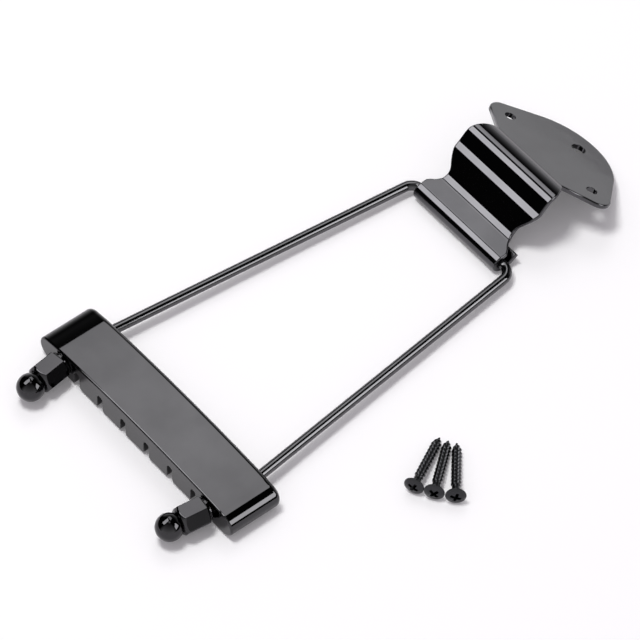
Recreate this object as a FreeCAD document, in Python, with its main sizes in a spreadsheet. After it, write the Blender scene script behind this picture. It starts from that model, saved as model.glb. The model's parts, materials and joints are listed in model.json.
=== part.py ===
import FreeCAD, Part
import math
import os

from FreeCAD import Placement, Rotation, Vector
from Sketcher import Constraint

# Trapeze tailpiece for a hollow-bodied string instrument, lying flat as it comes
# out of its bag, with its three wood screws beside it. Millimetres, +Z up.
# X runs along the crossbar, +Y points from the crossbar to the hinge bracket.
# The origin is the centre of the bracket's end-pin hole, on the face that lies
# against the instrument.

SIZES = {
    # Wire frame: one bent wire, straight through the hinge barrel
    "wire_diameter": 3.0,
    "barrel_end_gap": 0.14,
    "frame_reach": 119.7,
    "corner_bend_radius": 3.9,
    "bar_bend_radius": 12.0,
    "end_toe_in": 7.4,
    "thread_reach": 10.2,
    "wire_inset": 4.96,
    "running_clearance": 0.05,
    # Crossbar: a casting with a crowned top, rounded ends and an open underside
    "bar_half_span": 39.1,
    "bar_end_radius": 4.15,
    "bar_end_drop": 0.6,
    "bar_crown_height": 5.1,
    "bar_depth": 18.1,
    "bar_front_wall": 1.8,
    "bar_back_wall": 2.8,
    "bar_roof": 1.8,
    "bar_end_block": 5.8,
    "bar_back_round": 1.8,
    "bar_front_chamfer": 0.35,
    "bar_hole_clearance": 0.35,
    "string_pitch": 10.5,
    "string_slot_width": 2.3,
    "string_slot_top": 1.2,
    "slot_mouth_round": 1.2,
    # Ball nuts: turned from hexagon bar, with a ball that grows out of its end
    "nut_flats": 8.2,
    "nut_collar_diameter": 7.4,
    "nut_collar_length": 0.8,
    "nut_hex_length": 8.2,
    "nut_end_diameter": 7.4,
    "nut_bar_excess": 0.12,
    "nut_ball_diameter": 8.3,
    "nut_ball_reach": 11.95,
    "nut_bore_depth": 11.0,
    "nut_seat_gap": 0.02,
    # Hinge bracket: one strip of sheet, rolled round the wire and bent in waves
    "sheet": 1.5,
    "bracket_width": 36.0,
    "roll_tail_rise": 35.0,
    "roll_seam_gap": 0.1,
    "shelf_length": 4.9,
    "foot_bend_radius": 4.55,
    "riser_angle": 59.9,
    "riser_length": 5.63,
    "shoulder_bend_radius": 2.25,
    "shoulder_angle": 28.4,
    "shoulder_length": 1.05,
    "step_bend_radius": 2.5,
    "step_angle": 49.0,
    "step_length": 3.67,
    "crest_bend_radius": 2.5,
    "crest_rise": 9.8,
    "crest_length": 0.25,
    "back_bend_radius": 6.1,
    "back_fall": 37.4,
    "back_length": 0.3,
    "root_bend_radius": 5.15,
    "flange_fall": 28.05,
    "waist_radius": 3.7,
    "waist_reach": 6.1,
    "waist_offset": 0.3,
    "waist_end": 12.0,
    "root_width": 28.6,
    "root_corner_length": 8.0,
    "flange_length": 29.1,
    "flange_apex_radius": 21.1,
    "wing_span": 50.1,
    "wing_radius": 4.3,
    "wing_reach": 9.2,
    "end_pin_hole_diameter": 4.4,
    "end_pin_hole_reach": 21.9,
    "screw_hole_diameter": 3.4,
    "screw_hole_spacing": 36.0,
    "screw_hole_reach": 9.4,
    # Wood screws with oval countersunk heads
    "screw_length": 20.5,
    "screw_diameter": 3.0,
    "screw_head_diameter": 6.0,
    "screw_head_cone": 1.7,
    "screw_head_crown": 0.9,
    "screw_crown_flat": 3.6,
    "screw_point_length": 2.8,
    "screw_point_diameter": 0.5,
    "recess_width": 3.0,
    "recess_slot": 0.75,
    "recess_depth": 1.5,
    # Where the loose screws lie, measured from the hinge axis
    "first_screw_side": 62.4,
    "first_screw_back": 70.6,
    "second_screw_side": 67.7,
    "second_screw_back": 67.5,
    "third_screw_side": 72.6,
    "third_screw_back": 63.6,
    # Length by which cuts run past the face that they leave
    "overrun": 1.0,
}

# Directions of the loose screws, from head to point, in degrees from the X axis
SCREW_ANGLES = {"first": 118.4, "second": 128.4, "third": 139.0}
STRING_COUNT = 6
NUT_SIDES = 6
RIGHT_ANGLE = 90.0
STRAIGHT_ANGLE = 180.0
FULL_TURN = 360.0

doc = FreeCAD.newDocument("trapeze_tailpiece")
sheet = doc.addObject("Spreadsheet::Sheet", "Sizes")


def sine(degrees):
    return math.sin(math.radians(degrees))


def cosine(degrees):
    return math.cos(math.radians(degrees))


def tangent(degrees):
    return math.tan(math.radians(degrees))


def bend_path(start, heading, legs, bends):
    """Points and headings of a bent strip: legs are straight lengths, and each
    bend is a radius of the middle line and the heading that it turns to.
    Returns a list of ("line", from, to) and ("arc", centre, radius, from, to, turn)."""
    path = []
    point = Vector(start[0], start[1], 0)
    for index, length in enumerate(legs):
        ahead = Vector(cosine(heading), sine(heading), 0)
        end = point + ahead * length
        if length > 0:
            path.append(("line", point, end))
        point = end
        if index < len(bends):
            radius, new_heading = bends[index]
            turn = 1 if new_heading > heading else -1
            left = Vector(-ahead.y, ahead.x, 0)
            centre = point + left * (radius * turn)
            new_left = Vector(-sine(new_heading), cosine(new_heading), 0)
            end = centre - new_left * (radius * turn)
            path.append(("arc", centre, radius, point, end, turn))
            point = end
            heading = new_heading
    return path


def plate_path(v):
    """The bracket's middle line in the hinge frame, from the top of its rolled
    barrel to the root of its flange."""
    lengths = (
        "shelf_length", "riser_length", "shoulder_length", "step_length", "crest_length", "back_length",
    )
    bends = [
        (v["foot_bend_radius"], v["riser_angle"]),
        (v["shoulder_bend_radius"], v["shoulder_angle"]),
        (v["step_bend_radius"], v["step_angle"]),
        (v["crest_bend_radius"], v["crest_rise"]),
        (v["back_bend_radius"], -v["back_fall"]),
        (v["root_bend_radius"], -v["flange_fall"]),
    ]
    return bend_path((0, v["roll_radius"]), 0, [v[alias] for alias in lengths], bends)


def work_out(v):
    """Adds the sizes that follow from the driving ones."""
    v["wire_radius"] = v["wire_diameter"] / 2
    v["roll_bore"] = v["wire_radius"] + v["running_clearance"]
    v["roll_radius"] = v["roll_bore"] + v["sheet"] / 2
    v["barrel_radius"] = v["roll_bore"] + v["sheet"]

    # Wire frame. It turns just outside the barrel, and each leg runs straight from
    # that bend to the middle of the crossbar, at a set distance from the bar's end.
    v["bracket_half"] = v["bracket_width"] / 2
    v["barrel_straight"] = v["bracket_half"] + v["barrel_end_gap"]
    v["bar_middle_reach"] = v["frame_reach"] - v["bar_depth"] / 2
    v["bend_spread"] = v["bar_half_span"] - v["wire_inset"]
    outward = v["bend_spread"] - v["barrel_straight"]
    onward = v["bar_middle_reach"] - v["corner_bend_radius"]
    from_bend = math.hypot(outward, onward)
    v["leg_flare"] = math.degrees(
        math.atan2(outward, onward) - math.asin(v["corner_bend_radius"] / from_bend)
    )
    bar_turn = v["leg_flare"] + v["end_toe_in"]
    bar_tangent = v["bar_bend_radius"] * tangent(bar_turn / 2)
    v["leg_straight"] = math.sqrt(from_bend ** 2 - v["corner_bend_radius"] ** 2) - bar_tangent
    v["end_straight"] = v["bar_depth"] / 2 / cosine(v["end_toe_in"]) + v["thread_reach"] - bar_tangent
    v["leg_fall"] = RIGHT_ANGLE - v["leg_flare"]
    v["end_fall"] = RIGHT_ANGLE + v["end_toe_in"]

    # Crossbar. The crown is tangent to both rounded ends.
    rise = v["bar_crown_height"] + v["bar_end_drop"]
    v["crown_radius"] = (v["bar_half_span"] ** 2 + rise ** 2 - v["bar_end_radius"] ** 2) / (
        2 * (rise - v["bar_end_radius"])
    )
    v["crown_drop"] = v["crown_radius"] - v["bar_crown_height"]
    v["bar_underside"] = v["bar_end_drop"] + v["bar_end_radius"]
    v["cavity_half"] = v["bar_half_span"] + v["bar_end_radius"] - v["bar_end_block"]
    v["cavity_depth"] = v["bar_depth"] - v["bar_front_wall"] - v["bar_back_wall"]
    to_front = v["bar_depth"] / 2 - v["bar_front_wall"] / 2
    to_back = v["bar_depth"] / 2 - v["bar_back_wall"] / 2
    v["front_hole_side"] = v["bend_spread"] - to_front * tangent(v["end_toe_in"])
    v["back_hole_side"] = v["bend_spread"] - to_back * tangent(v["leg_flare"])
    v["bar_hole_radius"] = v["wire_radius"] + v["bar_hole_clearance"]
    v["slot_radius"] = v["string_slot_width"] / 2
    v["slot_centre"] = v["string_slot_top"] - v["slot_radius"]
    v["string_span"] = v["string_pitch"] * (STRING_COUNT - 1)

    # Ball nuts. The collar's inner edge meets the crossbar's front face.
    v["nut_corner_radius"] = v["nut_flats"] / 2 / cosine(STRAIGHT_ANGLE / NUT_SIDES)
    v["nut_bore_radius"] = v["wire_radius"] + v["running_clearance"]
    v["nut_ball_radius"] = v["nut_ball_diameter"] / 2
    v["nut_lift"] = v["nut_collar_diameter"] / 2 * tangent(v["end_toe_in"]) + v["nut_seat_gap"]
    v["nut_seat_side"] = v["bend_spread"] - (v["bar_depth"] / 2 + v["nut_lift"]) * tangent(v["end_toe_in"])

    # The frame lies on the crossbar's back lower edge and the hinge barrel
    back_edge = v["frame_reach"] - v["bar_depth"] + v["bar_back_round"]
    v["frame_lift"] = math.degrees(math.atan((v["bar_underside"] - v["barrel_radius"]) / back_edge))

    # The bracket leans on its hinge until the flange's lower edge meets the table
    root = plate_path(v)[-1][4]
    v["root_side"] = root.x
    v["root_height"] = root.y
    fall = v["flange_fall"]
    tip_side = root.x + v["flange_length"] * cosine(fall) - v["sheet"] / 2 * sine(fall)
    tip_height = root.y - v["flange_length"] * sine(fall) - v["sheet"] / 2 * cosine(fall)
    tip_distance = math.hypot(tip_side, tip_height)
    v["bracket_lean"] = -math.degrees(
        math.asin(v["barrel_radius"] / tip_distance) + math.atan2(tip_height, tip_side)
    )
    pin_side = root.x + v["end_pin_hole_reach"] * cosine(fall) - v["sheet"] / 2 * sine(fall)
    pin_height = root.y - v["end_pin_hole_reach"] * sine(fall) - v["sheet"] / 2 * cosine(fall)
    lean = v["bracket_lean"]
    v["hinge_back"] = pin_side * cosine(lean) - pin_height * sine(lean)
    v["hinge_drop"] = pin_side * sine(lean) + pin_height * cosine(lean)

    # Flange outline, in the plane of the sheet, from its root
    v["wing_side"] = v["wing_span"] / 2 - v["wing_radius"]
    v["apex_centre"] = v["flange_length"] - v["flange_apex_radius"]
    v["root_half"] = v["root_width"] / 2
    narrowing = v["bracket_half"] - v["root_half"]
    v["crest_corner_radius"] = (narrowing ** 2 + v["root_corner_length"] ** 2) / (2 * narrowing)

    # Waist of the strip: each round cut runs out to the edge along its tangent
    v["waist_side"] = v["bracket_half"] + v["waist_offset"]
    to_end = v["waist_end"] - v["waist_reach"]
    apart = math.hypot(v["waist_offset"], to_end)
    v["waist_slope"] = RIGHT_ANGLE - math.degrees(
        math.asin(v["waist_radius"] / apart) - math.atan2(v["waist_offset"], to_end)
    )
    v["waist_run_out"] = v["waist_end"] + v["overrun"] * tangent(v["waist_slope"])

    # Rolled barrel: its tail ends just under the shelf
    tail = v["roll_tail_rise"]
    tail_start = -v["roll_radius"] * cosine(tail)
    tail_top = v["roll_bore"] - v["roll_seam_gap"] - v["sheet"] / 2 * cosine(tail)
    v["tail_length"] = (tail_top - tail_start) / sine(tail)

    # Screws rest on the rim of the head and on the end of the full thread
    v["screw_body_end"] = v["screw_length"] - v["screw_point_length"]
    head_radius = v["screw_head_diameter"] / 2
    v["screw_tilt"] = math.degrees(
        math.atan((head_radius - v["screw_diameter"] / 2) / (v["screw_body_end"] - v["screw_head_crown"]))
    )
    return v


VALUES = work_out(dict(SIZES))


def fill_sheet():
    """One row per size: its name, and its number under an alias of that name."""
    for row, (alias, value) in enumerate(VALUES.items(), start=1):
        sheet.set("A%d" % row, alias)
        sheet.set("B%d" % row, repr(round(value, 9)))
        sheet.setAlias("B%d" % row, alias)
    doc.recompute()


def new_body(name):
    body = doc.addObject("PartDesign::Body", name)
    body.Label = name
    return body


def plane_of(body, role):
    for feature in body.Origin.OriginFeatures:
        if feature.Role == role:
            return feature
    raise ValueError(role)


def new_sketch(body, name, role, offset=None):
    sketch = body.newObject("Sketcher::SketchObject", name)
    sketch.AttachmentSupport = [(plane_of(body, role), "")]
    sketch.MapMode = "FlatFace"
    if offset is not None:
        sketch.AttachmentOffset = offset
    return sketch


def bind(sketch, constraint, name, formula):
    """Adds a dimension to a sketch and ties it to the sheet."""
    index = sketch.addConstraint(constraint)
    sketch.renameConstraint(index, name)
    sketch.setExpression("Constraints." + name, formula)


def size(alias):
    return "Sizes." + alias


def draw_line(sketch, start, end):
    return sketch.addGeometry(Part.LineSegment(start, end), False)


def draw_arc(sketch, centre, radius, start, end, turn):
    """An arc of a sketch from start to end, to the left when turn is 1. Returns its
    index and its point numbers at start and end."""
    first = math.atan2(start.y - centre.y, start.x - centre.x)
    last = math.atan2(end.y - centre.y, end.x - centre.x)
    if turn < 0:
        first, last = last, first
    if last <= first:
        last += 2 * math.pi
    circle = Part.Circle(centre, Vector(0, 0, 1), radius)
    index = sketch.addGeometry(Part.ArcOfCircle(circle, first, last), False)
    return (index, 1, 2) if turn > 0 else (index, 2, 1)


def draw_path(sketch, path, names):
    """Draws a bent path. names gives each piece's length or radius in the sheet,
    and each line's heading: a line is (length, heading), an arc (radius,)."""
    before = None
    for piece, name in zip(path, names):
        if piece[0] == "line":
            ends = (draw_line(sketch, piece[1], piece[2]), 1, 2)
        else:
            ends = draw_arc(sketch, *piece[1:])
        if before is not None:
            sketch.addConstraint(Constraint("Tangent", before[0], before[2], ends[0], ends[1]))
        if piece[0] == "line":
            length = (piece[2] - piece[1]).Length
            bind(sketch, Constraint("Distance", ends[0], length), name[0], size(name[0]))
        else:
            bind(sketch, Constraint("Radius", ends[0], piece[2]), name[0], size(name[0]))
        before = ends
    return before


def circle_in(sketch, side, up, radius, prefix, side_formula, up_formula, radius_formula):
    """A circle whose centre and radius are tied to the sheet."""
    index = sketch.addGeometry(Part.Circle(Vector(side, up, 0), Vector(0, 0, 1), radius), False)
    bind(sketch, Constraint("Radius", index, radius), prefix + "_radius", radius_formula)
    if side:
        bind(sketch, Constraint("DistanceX", -1, 1, index, 3, side), prefix + "_side", side_formula)
    else:
        sketch.addConstraint(Constraint("PointOnObject", index, 3, -2))
    if up:
        bind(sketch, Constraint("DistanceY", -1, 1, index, 3, up), prefix + "_up", up_formula)
    else:
        sketch.addConstraint(Constraint("PointOnObject", index, 3, -1))
    return index


def strip_section(body, name):
    """The sheet's cross-section at the top of the barrel, across the bracket."""
    v = VALUES
    sketch = new_sketch(body, name, "XZ_Plane")
    half = v["bracket_half"]
    low = v["roll_bore"]
    high = v["barrel_radius"]
    corners = [Vector(-half, low, 0), Vector(half, low, 0), Vector(half, high, 0), Vector(-half, high, 0)]
    lines = [draw_line(sketch, corners[i], corners[(i + 1) % 4]) for i in range(4)]
    for i in range(4):
        sketch.addConstraint(Constraint("Coincident", lines[i], 2, lines[(i + 1) % 4], 1))
    for i, kind in ((1, "Vertical"), (2, "Horizontal"), (3, "Vertical")):
        sketch.addConstraint(Constraint(kind, lines[i]))
    sketch.addConstraint(Constraint("Symmetric", lines[0], 1, lines[0], 2, -2))
    bind(sketch, Constraint("DistanceX", lines[0], 1, lines[0], 2, 2 * half), "width", size("bracket_width"))
    bind(sketch, Constraint("DistanceY", lines[1], 1, lines[1], 2, high - low), "sheet", size("sheet"))
    bind(sketch, Constraint("DistanceY", -1, 1, lines[0], 1, low), "bore", size("roll_bore"))
    return sketch


def pipe(body, name, section, spine):
    feature = body.newObject("PartDesign::AdditivePipe", name)
    feature.Profile = section
    feature.Spine = spine
    doc.recompute()
    return feature


def pad(body, name, sketch, formula, reverse=False, middle=False):
    feature = body.newObject("PartDesign::Pad", name)
    feature.Profile = sketch
    feature.setExpression("Length", formula)
    feature.Reversed = reverse
    feature.Midplane = middle
    doc.recompute()
    return feature


def pocket(body, name, sketch, formula, reverse=False, middle=False, through=False):
    """Cuts a sketch out of a body, and checks that it did cut."""
    before = body.Shape.Volume
    feature = body.newObject("PartDesign::Pocket", name)
    feature.Profile = sketch
    if through:
        feature.Type = "ThroughAll"
    else:
        feature.setExpression("Length", formula)
    feature.Reversed = reverse
    feature.Midplane = middle
    doc.recompute()
    if not body.Shape.Volume < before:
        raise RuntimeError(name + " cut nothing")
    return feature


def tip(body, feature):
    body.Tip = feature
    doc.recompute()


def make_wire_frame():
    """One wire: through the barrel, round the corners, down the legs, and toed in
    inside the crossbar to the two threaded ends."""
    v = VALUES
    body = new_body("wire_frame")
    spine = new_sketch(body, "wire_line", "XY_Plane")
    legs = [v["barrel_straight"], v["leg_straight"], v["end_straight"]]
    bends = [(v["corner_bend_radius"], -v["leg_fall"]), (v["bar_bend_radius"], -v["end_fall"])]
    path = bend_path((0, 0), 0, legs, bends)
    aliases = ("barrel_straight", "corner_bend_radius", "leg_straight", "bar_bend_radius", "end_straight")
    names = [(alias,) for alias in aliases]
    draw_path(spine, path, names)
    spine.addConstraint(Constraint("Coincident", 0, 1, -1, 1))
    spine.addConstraint(Constraint("Horizontal", 0))
    for index, alias in ((2, "leg_fall"), (4, "end_fall")):
        bind(spine, Constraint("Angle", index, 1, -1, 1, math.radians(v[alias])), alias,
             size(alias) + " * 1 deg")
    section = new_sketch(body, "wire_section", "YZ_Plane")
    circle_in(section, 0, 0, v["wire_radius"], "wire", "", "", size("wire_radius"))
    half = pipe(body, "half_wire", section, spine)
    mirror = body.newObject("PartDesign::Mirrored", "whole_wire")
    mirror.Originals = [half]
    mirror.MirrorPlane = (plane_of(body, "YZ_Plane"), [""])
    tip(body, mirror)
    return body


def bar_outline(body):
    """The crossbar seen from the strings: crowned top, half-round ends, flat foot."""
    v = VALUES
    sketch = new_sketch(body, "front_outline", "XZ_Plane")
    across = v["bar_half_span"]
    reach = v["crown_radius"] - v["bar_end_radius"]
    share = v["bar_end_radius"] / reach
    crown_centre = Vector(0, -v["crown_drop"], 0)
    ends = [Vector(side * across, -v["bar_end_drop"], 0) for side in (1, -1)]
    joins = [end + (end - crown_centre) * share for end in ends]
    feet = [Vector(end.x, -v["bar_underside"], 0) for end in ends]
    crown = draw_arc(sketch, crown_centre, v["crown_radius"], joins[0], joins[1], 1)
    left = draw_arc(sketch, ends[1], v["bar_end_radius"], joins[1], feet[1], 1)
    foot = (draw_line(sketch, feet[1], feet[0]), 1, 2)
    right = draw_arc(sketch, ends[0], v["bar_end_radius"], feet[0], joins[0], 1)
    loop = [crown, left, foot, right]
    for one, two in zip(loop, loop[1:] + loop[:1]):
        sketch.addConstraint(Constraint("Tangent", one[0], one[2], two[0], two[1]))
    sketch.addConstraint(Constraint("PointOnObject", crown[0], 3, -2))
    sketch.addConstraint(Constraint("Horizontal", foot[0]))
    sketch.addConstraint(Constraint("Equal", left[0], right[0]))
    bind(sketch, Constraint("Radius", right[0], v["bar_end_radius"]), "end_radius", size("bar_end_radius"))
    bind(sketch, Constraint("Radius", crown[0], v["crown_radius"]), "crown_radius", size("crown_radius"))
    bind(sketch, Constraint("DistanceX", -1, 1, right[0], 3, across), "half_span", size("bar_half_span"))
    bind(sketch, Constraint("DistanceY", right[0], 3, -1, 1, v["bar_end_drop"]), "end_drop",
         size("bar_end_drop"))
    return sketch


def bar_cavity(body):
    """The hollow seen from the strings. Its roof follows the crown."""
    v = VALUES
    offset = Placement(Vector(0, 0, -v["bar_front_wall"]), Rotation())
    sketch = new_sketch(body, "cavity_outline", "XZ_Plane", offset)
    sketch.setExpression("AttachmentOffset.Base.z", "-" + size("bar_front_wall"))
    radius = v["crown_radius"] - v["bar_roof"]
    half = v["cavity_half"]
    centre = Vector(0, -v["crown_drop"], 0)
    roof_end = centre.y + math.sqrt(radius ** 2 - half ** 2)
    low = -v["bar_underside"] - v["overrun"]
    right_top = Vector(half, roof_end, 0)
    left_top = Vector(-half, roof_end, 0)
    right_foot = Vector(half, low, 0)
    left_foot = Vector(-half, low, 0)
    roof = draw_arc(sketch, centre, radius, right_top, left_top, 1)
    left = (draw_line(sketch, left_top, left_foot), 1, 2)
    foot = (draw_line(sketch, left_foot, right_foot), 1, 2)
    right = (draw_line(sketch, right_foot, right_top), 1, 2)
    loop = [roof, left, foot, right]
    for one, two in zip(loop, loop[1:] + loop[:1]):
        sketch.addConstraint(Constraint("Coincident", one[0], one[2], two[0], two[1]))
    sketch.addConstraint(Constraint("Vertical", left[0]))
    sketch.addConstraint(Constraint("Vertical", right[0]))
    sketch.addConstraint(Constraint("Horizontal", foot[0]))
    sketch.addConstraint(Constraint("PointOnObject", roof[0], 3, -2))
    bind(sketch, Constraint("Radius", roof[0], radius), "roof_radius",
         size("crown_radius") + " - " + size("bar_roof"))
    bind(sketch, Constraint("DistanceY", roof[0], 3, -1, 1, v["crown_drop"]), "roof_centre",
         size("crown_drop"))
    bind(sketch, Constraint("DistanceX", -1, 1, right[0], 1, half), "half", size("cavity_half"))
    bind(sketch, Constraint("DistanceX", left[0], 2, -1, 1, half), "other_half", size("cavity_half"))
    bind(sketch, Constraint("DistanceY", foot[0], 1, -1, 1, -low), "foot",
         size("bar_underside") + " + " + size("overrun"))
    return sketch


def slot_outline(body):
    """One string slot, open at the foot of the front wall, with a flared mouth."""
    v = VALUES
    sketch = new_sketch(body, "slot_outline", "XZ_Plane")
    middle = -v["string_span"] / 2
    half = v["slot_radius"]
    flare = v["slot_mouth_round"]
    foot = -v["bar_underside"]
    low = foot - v["overrun"]
    crest = v["slot_centre"]
    bend = foot + flare
    left, right = middle - half, middle + half
    wide_left, wide_right = left - flare, right + flare
    top = draw_arc(sketch, Vector(middle, crest, 0), half, Vector(right, crest, 0), Vector(left, crest, 0), 1)
    left_side = (draw_line(sketch, Vector(left, crest, 0), Vector(left, bend, 0)), 1, 2)
    left_flare = draw_arc(
        sketch, Vector(wide_left, bend, 0), flare, Vector(left, bend, 0), Vector(wide_left, foot, 0), -1
    )
    left_drop = (draw_line(sketch, Vector(wide_left, foot, 0), Vector(wide_left, low, 0)), 1, 2)
    base = (draw_line(sketch, Vector(wide_left, low, 0), Vector(wide_right, low, 0)), 1, 2)
    right_rise = (draw_line(sketch, Vector(wide_right, low, 0), Vector(wide_right, foot, 0)), 1, 2)
    right_flare = draw_arc(
        sketch, Vector(wide_right, bend, 0), flare, Vector(wide_right, foot, 0), Vector(right, bend, 0), -1
    )
    right_side = (draw_line(sketch, Vector(right, bend, 0), Vector(right, crest, 0)), 1, 2)
    loop = [top, left_side, left_flare, left_drop, base, right_rise, right_flare, right_side]
    smooth = {(0, 1), (1, 2), (6, 7), (7, 0)}
    for i, one in enumerate(loop):
        j = (i + 1) % len(loop)
        kind = "Tangent" if (i, j) in smooth else "Coincident"
        sketch.addConstraint(Constraint(kind, one[0], one[2], loop[j][0], loop[j][1]))
    for line in (left_side, left_drop, right_rise, right_side):
        sketch.addConstraint(Constraint("Vertical", line[0]))
    sketch.addConstraint(Constraint("Horizontal", base[0]))
    sketch.addConstraint(Constraint("Equal", left_flare[0], right_flare[0]))
    for flare_arc, point in ((left_flare, left_flare[2]), (right_flare, right_flare[1])):
        sketch.addConstraint(Constraint("Vertical", flare_arc[0], point, flare_arc[0], 3))
        bind(sketch, Constraint("DistanceY", flare_arc[0], point, -1, 1, -foot),
             "mouth_%d" % flare_arc[0], size("bar_underside"))
    bind(sketch, Constraint("DistanceY", base[0], 1, -1, 1, -low), "below",
         size("bar_underside") + " + " + size("overrun"))
    bind(sketch, Constraint("Radius", top[0], half), "slot_radius", size("slot_radius"))
    bind(sketch, Constraint("Radius", left_flare[0], flare), "mouth_round", size("slot_mouth_round"))
    bind(sketch, Constraint("DistanceX", top[0], 3, -1, 1, -middle), "first_string",
         size("string_span") + " / 2")
    bind(sketch, Constraint("DistanceY", -1, 1, top[0], 3, v["slot_centre"]), "slot_centre",
         size("slot_centre"))
    return sketch


def make_crossbar():
    """The casting that anchors the strings. Its own frame has Y = 0 on the front
    face and Z = 0 at the height of the wire."""
    v = VALUES
    body = new_body("crossbar")
    pad(body, "bar_block", bar_outline(body), size("bar_depth"), reverse=True)
    rims = (
        ("PartDesign::Fillet", "back_round", "Radius", v["bar_depth"], "bar_back_round"),
        ("PartDesign::Chamfer", "front_chamfer", "Size", 0, "bar_front_chamfer"),
    )
    for kind, name, measure, depth, alias in rims:
        base = body.Tip
        edges = [
            "Edge%d" % (i + 1)
            for i, edge in enumerate(base.Shape.Edges)
            if abs(edge.BoundBox.YMin - depth) + abs(edge.BoundBox.YMax - depth) < v["running_clearance"]
        ]
        rim = body.newObject(kind, name)
        rim.Base = (base, edges)
        rim.setExpression(measure, size(alias))
        doc.recompute()
    pocket(body, "cavity", bar_cavity(body), size("cavity_depth"))
    through_front = size("bar_front_wall") + " + " + size("overrun")
    through_back = size("bar_back_wall") + " + " + size("overrun")
    slot = pocket(body, "string_slot", slot_outline(body), through_front)
    slots = body.newObject("PartDesign::LinearPattern", "string_slots")
    slots.Originals = [slot]
    slots.Direction = (slot.Profile[0], ["H_Axis"])
    slots.setExpression("Length", size("string_span"))
    slots.Occurrences = STRING_COUNT
    tip(body, slots)
    front = new_sketch(body, "front_holes", "XZ_Plane")
    back_offset = Placement(Vector(0, 0, -v["bar_depth"]), Rotation())
    back = new_sketch(body, "back_holes", "XZ_Plane", back_offset)
    back.setExpression("AttachmentOffset.Base.z", "-" + size("bar_depth"))
    for sketch, alias in ((front, "front_hole_side"), (back, "back_hole_side")):
        for side, sign, prefix in ((v[alias], "", "right"), (-v[alias], "-", "left")):
            circle_in(sketch, side, 0, v["bar_hole_radius"], prefix, sign + size(alias), "",
                      size("bar_hole_radius"))
    pocket(body, "front_wire_holes", front, through_front)
    pocket(body, "back_wire_holes", back, through_back, reverse=True)
    return body


def make_ball_nut(name):
    """A blind nut on its own axis: +Z runs from the face against the crossbar to
    the ball."""
    v = VALUES
    body = new_body(name)
    profile = new_sketch(body, "turned_profile", "XZ_Plane")
    collar = v["nut_collar_diameter"] / 2
    corner = v["nut_corner_radius"]
    hex_start = v["nut_collar_length"]
    hex_end = hex_start + v["nut_hex_length"]
    blank = corner + v["nut_bar_excess"]
    slope = blank - v["nut_end_diameter"] / 2
    ball = v["nut_ball_radius"]
    centre = v["nut_ball_reach"]
    ball_foot = math.sqrt(ball ** 2 - (centre - hex_end) ** 2)
    points = [
        Vector(0, 0, 0),
        Vector(collar, 0, 0),
        Vector(collar, hex_start, 0),
        Vector(blank, hex_start, 0),
        Vector(blank, hex_end - slope, 0),
        Vector(blank - slope, hex_end, 0),
        Vector(ball_foot, hex_end, 0),
    ]
    lines = [draw_line(profile, points[i], points[i + 1]) for i in range(len(points) - 1)]
    dome = draw_arc(profile, Vector(0, centre, 0), ball, points[-1], Vector(0, centre + ball, 0), 1)
    axis = draw_line(profile, Vector(0, centre + ball, 0), points[0])
    for one, two in zip(lines, lines[1:]):
        profile.addConstraint(Constraint("Coincident", one, 2, two, 1))
    profile.addConstraint(Constraint("Coincident", lines[-1], 2, dome[0], dome[1]))
    profile.addConstraint(Constraint("Coincident", dome[0], dome[2], axis, 1))
    profile.addConstraint(Constraint("Coincident", axis, 2, lines[0], 1))
    profile.addConstraint(Constraint("Coincident", lines[0], 1, -1, 1))
    profile.addConstraint(Constraint("PointOnObject", dome[0], 3, -2))
    profile.addConstraint(Constraint("Vertical", axis))
    bind(profile, Constraint("Radius", dome[0], ball), "ball_radius", size("nut_ball_radius"))
    bind(profile, Constraint("DistanceY", -1, 1, dome[0], 3, centre), "ball_reach", size("nut_ball_reach"))
    turned = body.newObject("PartDesign::Revolution", "turned_blank")
    turned.Profile = profile
    turned.ReferenceAxis = (profile, ["V_Axis"])
    doc.recompute()

    # The flats: everything outside a hexagon is cut away between collar and neck
    offset = Placement(Vector(0, 0, hex_start), Rotation())
    flats = new_sketch(body, "hexagon", "XY_Plane", offset)
    flats.setExpression("AttachmentOffset.Base.z", size("nut_collar_length"))
    step = FULL_TURN / NUT_SIDES
    corners = [Vector(corner * cosine(step * i), corner * sine(step * i), 0) for i in range(NUT_SIDES)]
    sides = [draw_line(flats, corners[i], corners[(i + 1) % NUT_SIDES]) for i in range(NUT_SIDES)]
    for i in range(NUT_SIDES):
        flats.addConstraint(Constraint("Coincident", sides[i], 2, sides[(i + 1) % NUT_SIDES], 1))
    rim = flats.addGeometry(Part.Circle(Vector(0, 0, 0), Vector(0, 0, 1), corner + v["overrun"]), False)
    flats.addConstraint(Constraint("Coincident", rim, 3, -1, 1))
    bind(flats, Constraint("Radius", rim, corner + v["overrun"]), "rim",
         size("nut_corner_radius") + " + " + size("overrun"))
    pocket(body, "flats", flats, size("nut_hex_length"), reverse=True)

    # The blind hole that takes the end of the wire
    bore = new_sketch(body, "bore", "XY_Plane")
    circle_in(bore, 0, 0, v["nut_bore_radius"], "bore", "", "", size("nut_bore_radius"))
    pocket(body, "tapped_hole", bore, size("nut_bore_depth"), reverse=True)
    return body


def tangent_point(from_point, centre, radius, turn):
    """Where a line from a point touches a circle, on the side that turn names."""
    across = centre - from_point
    distance = across.Length
    heading = math.degrees(math.atan2(across.y, across.x)) + turn * math.degrees(math.asin(radius / distance))
    reach = math.sqrt(distance ** 2 - radius ** 2)
    return from_point + Vector(cosine(heading), sine(heading), 0) * reach


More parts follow.
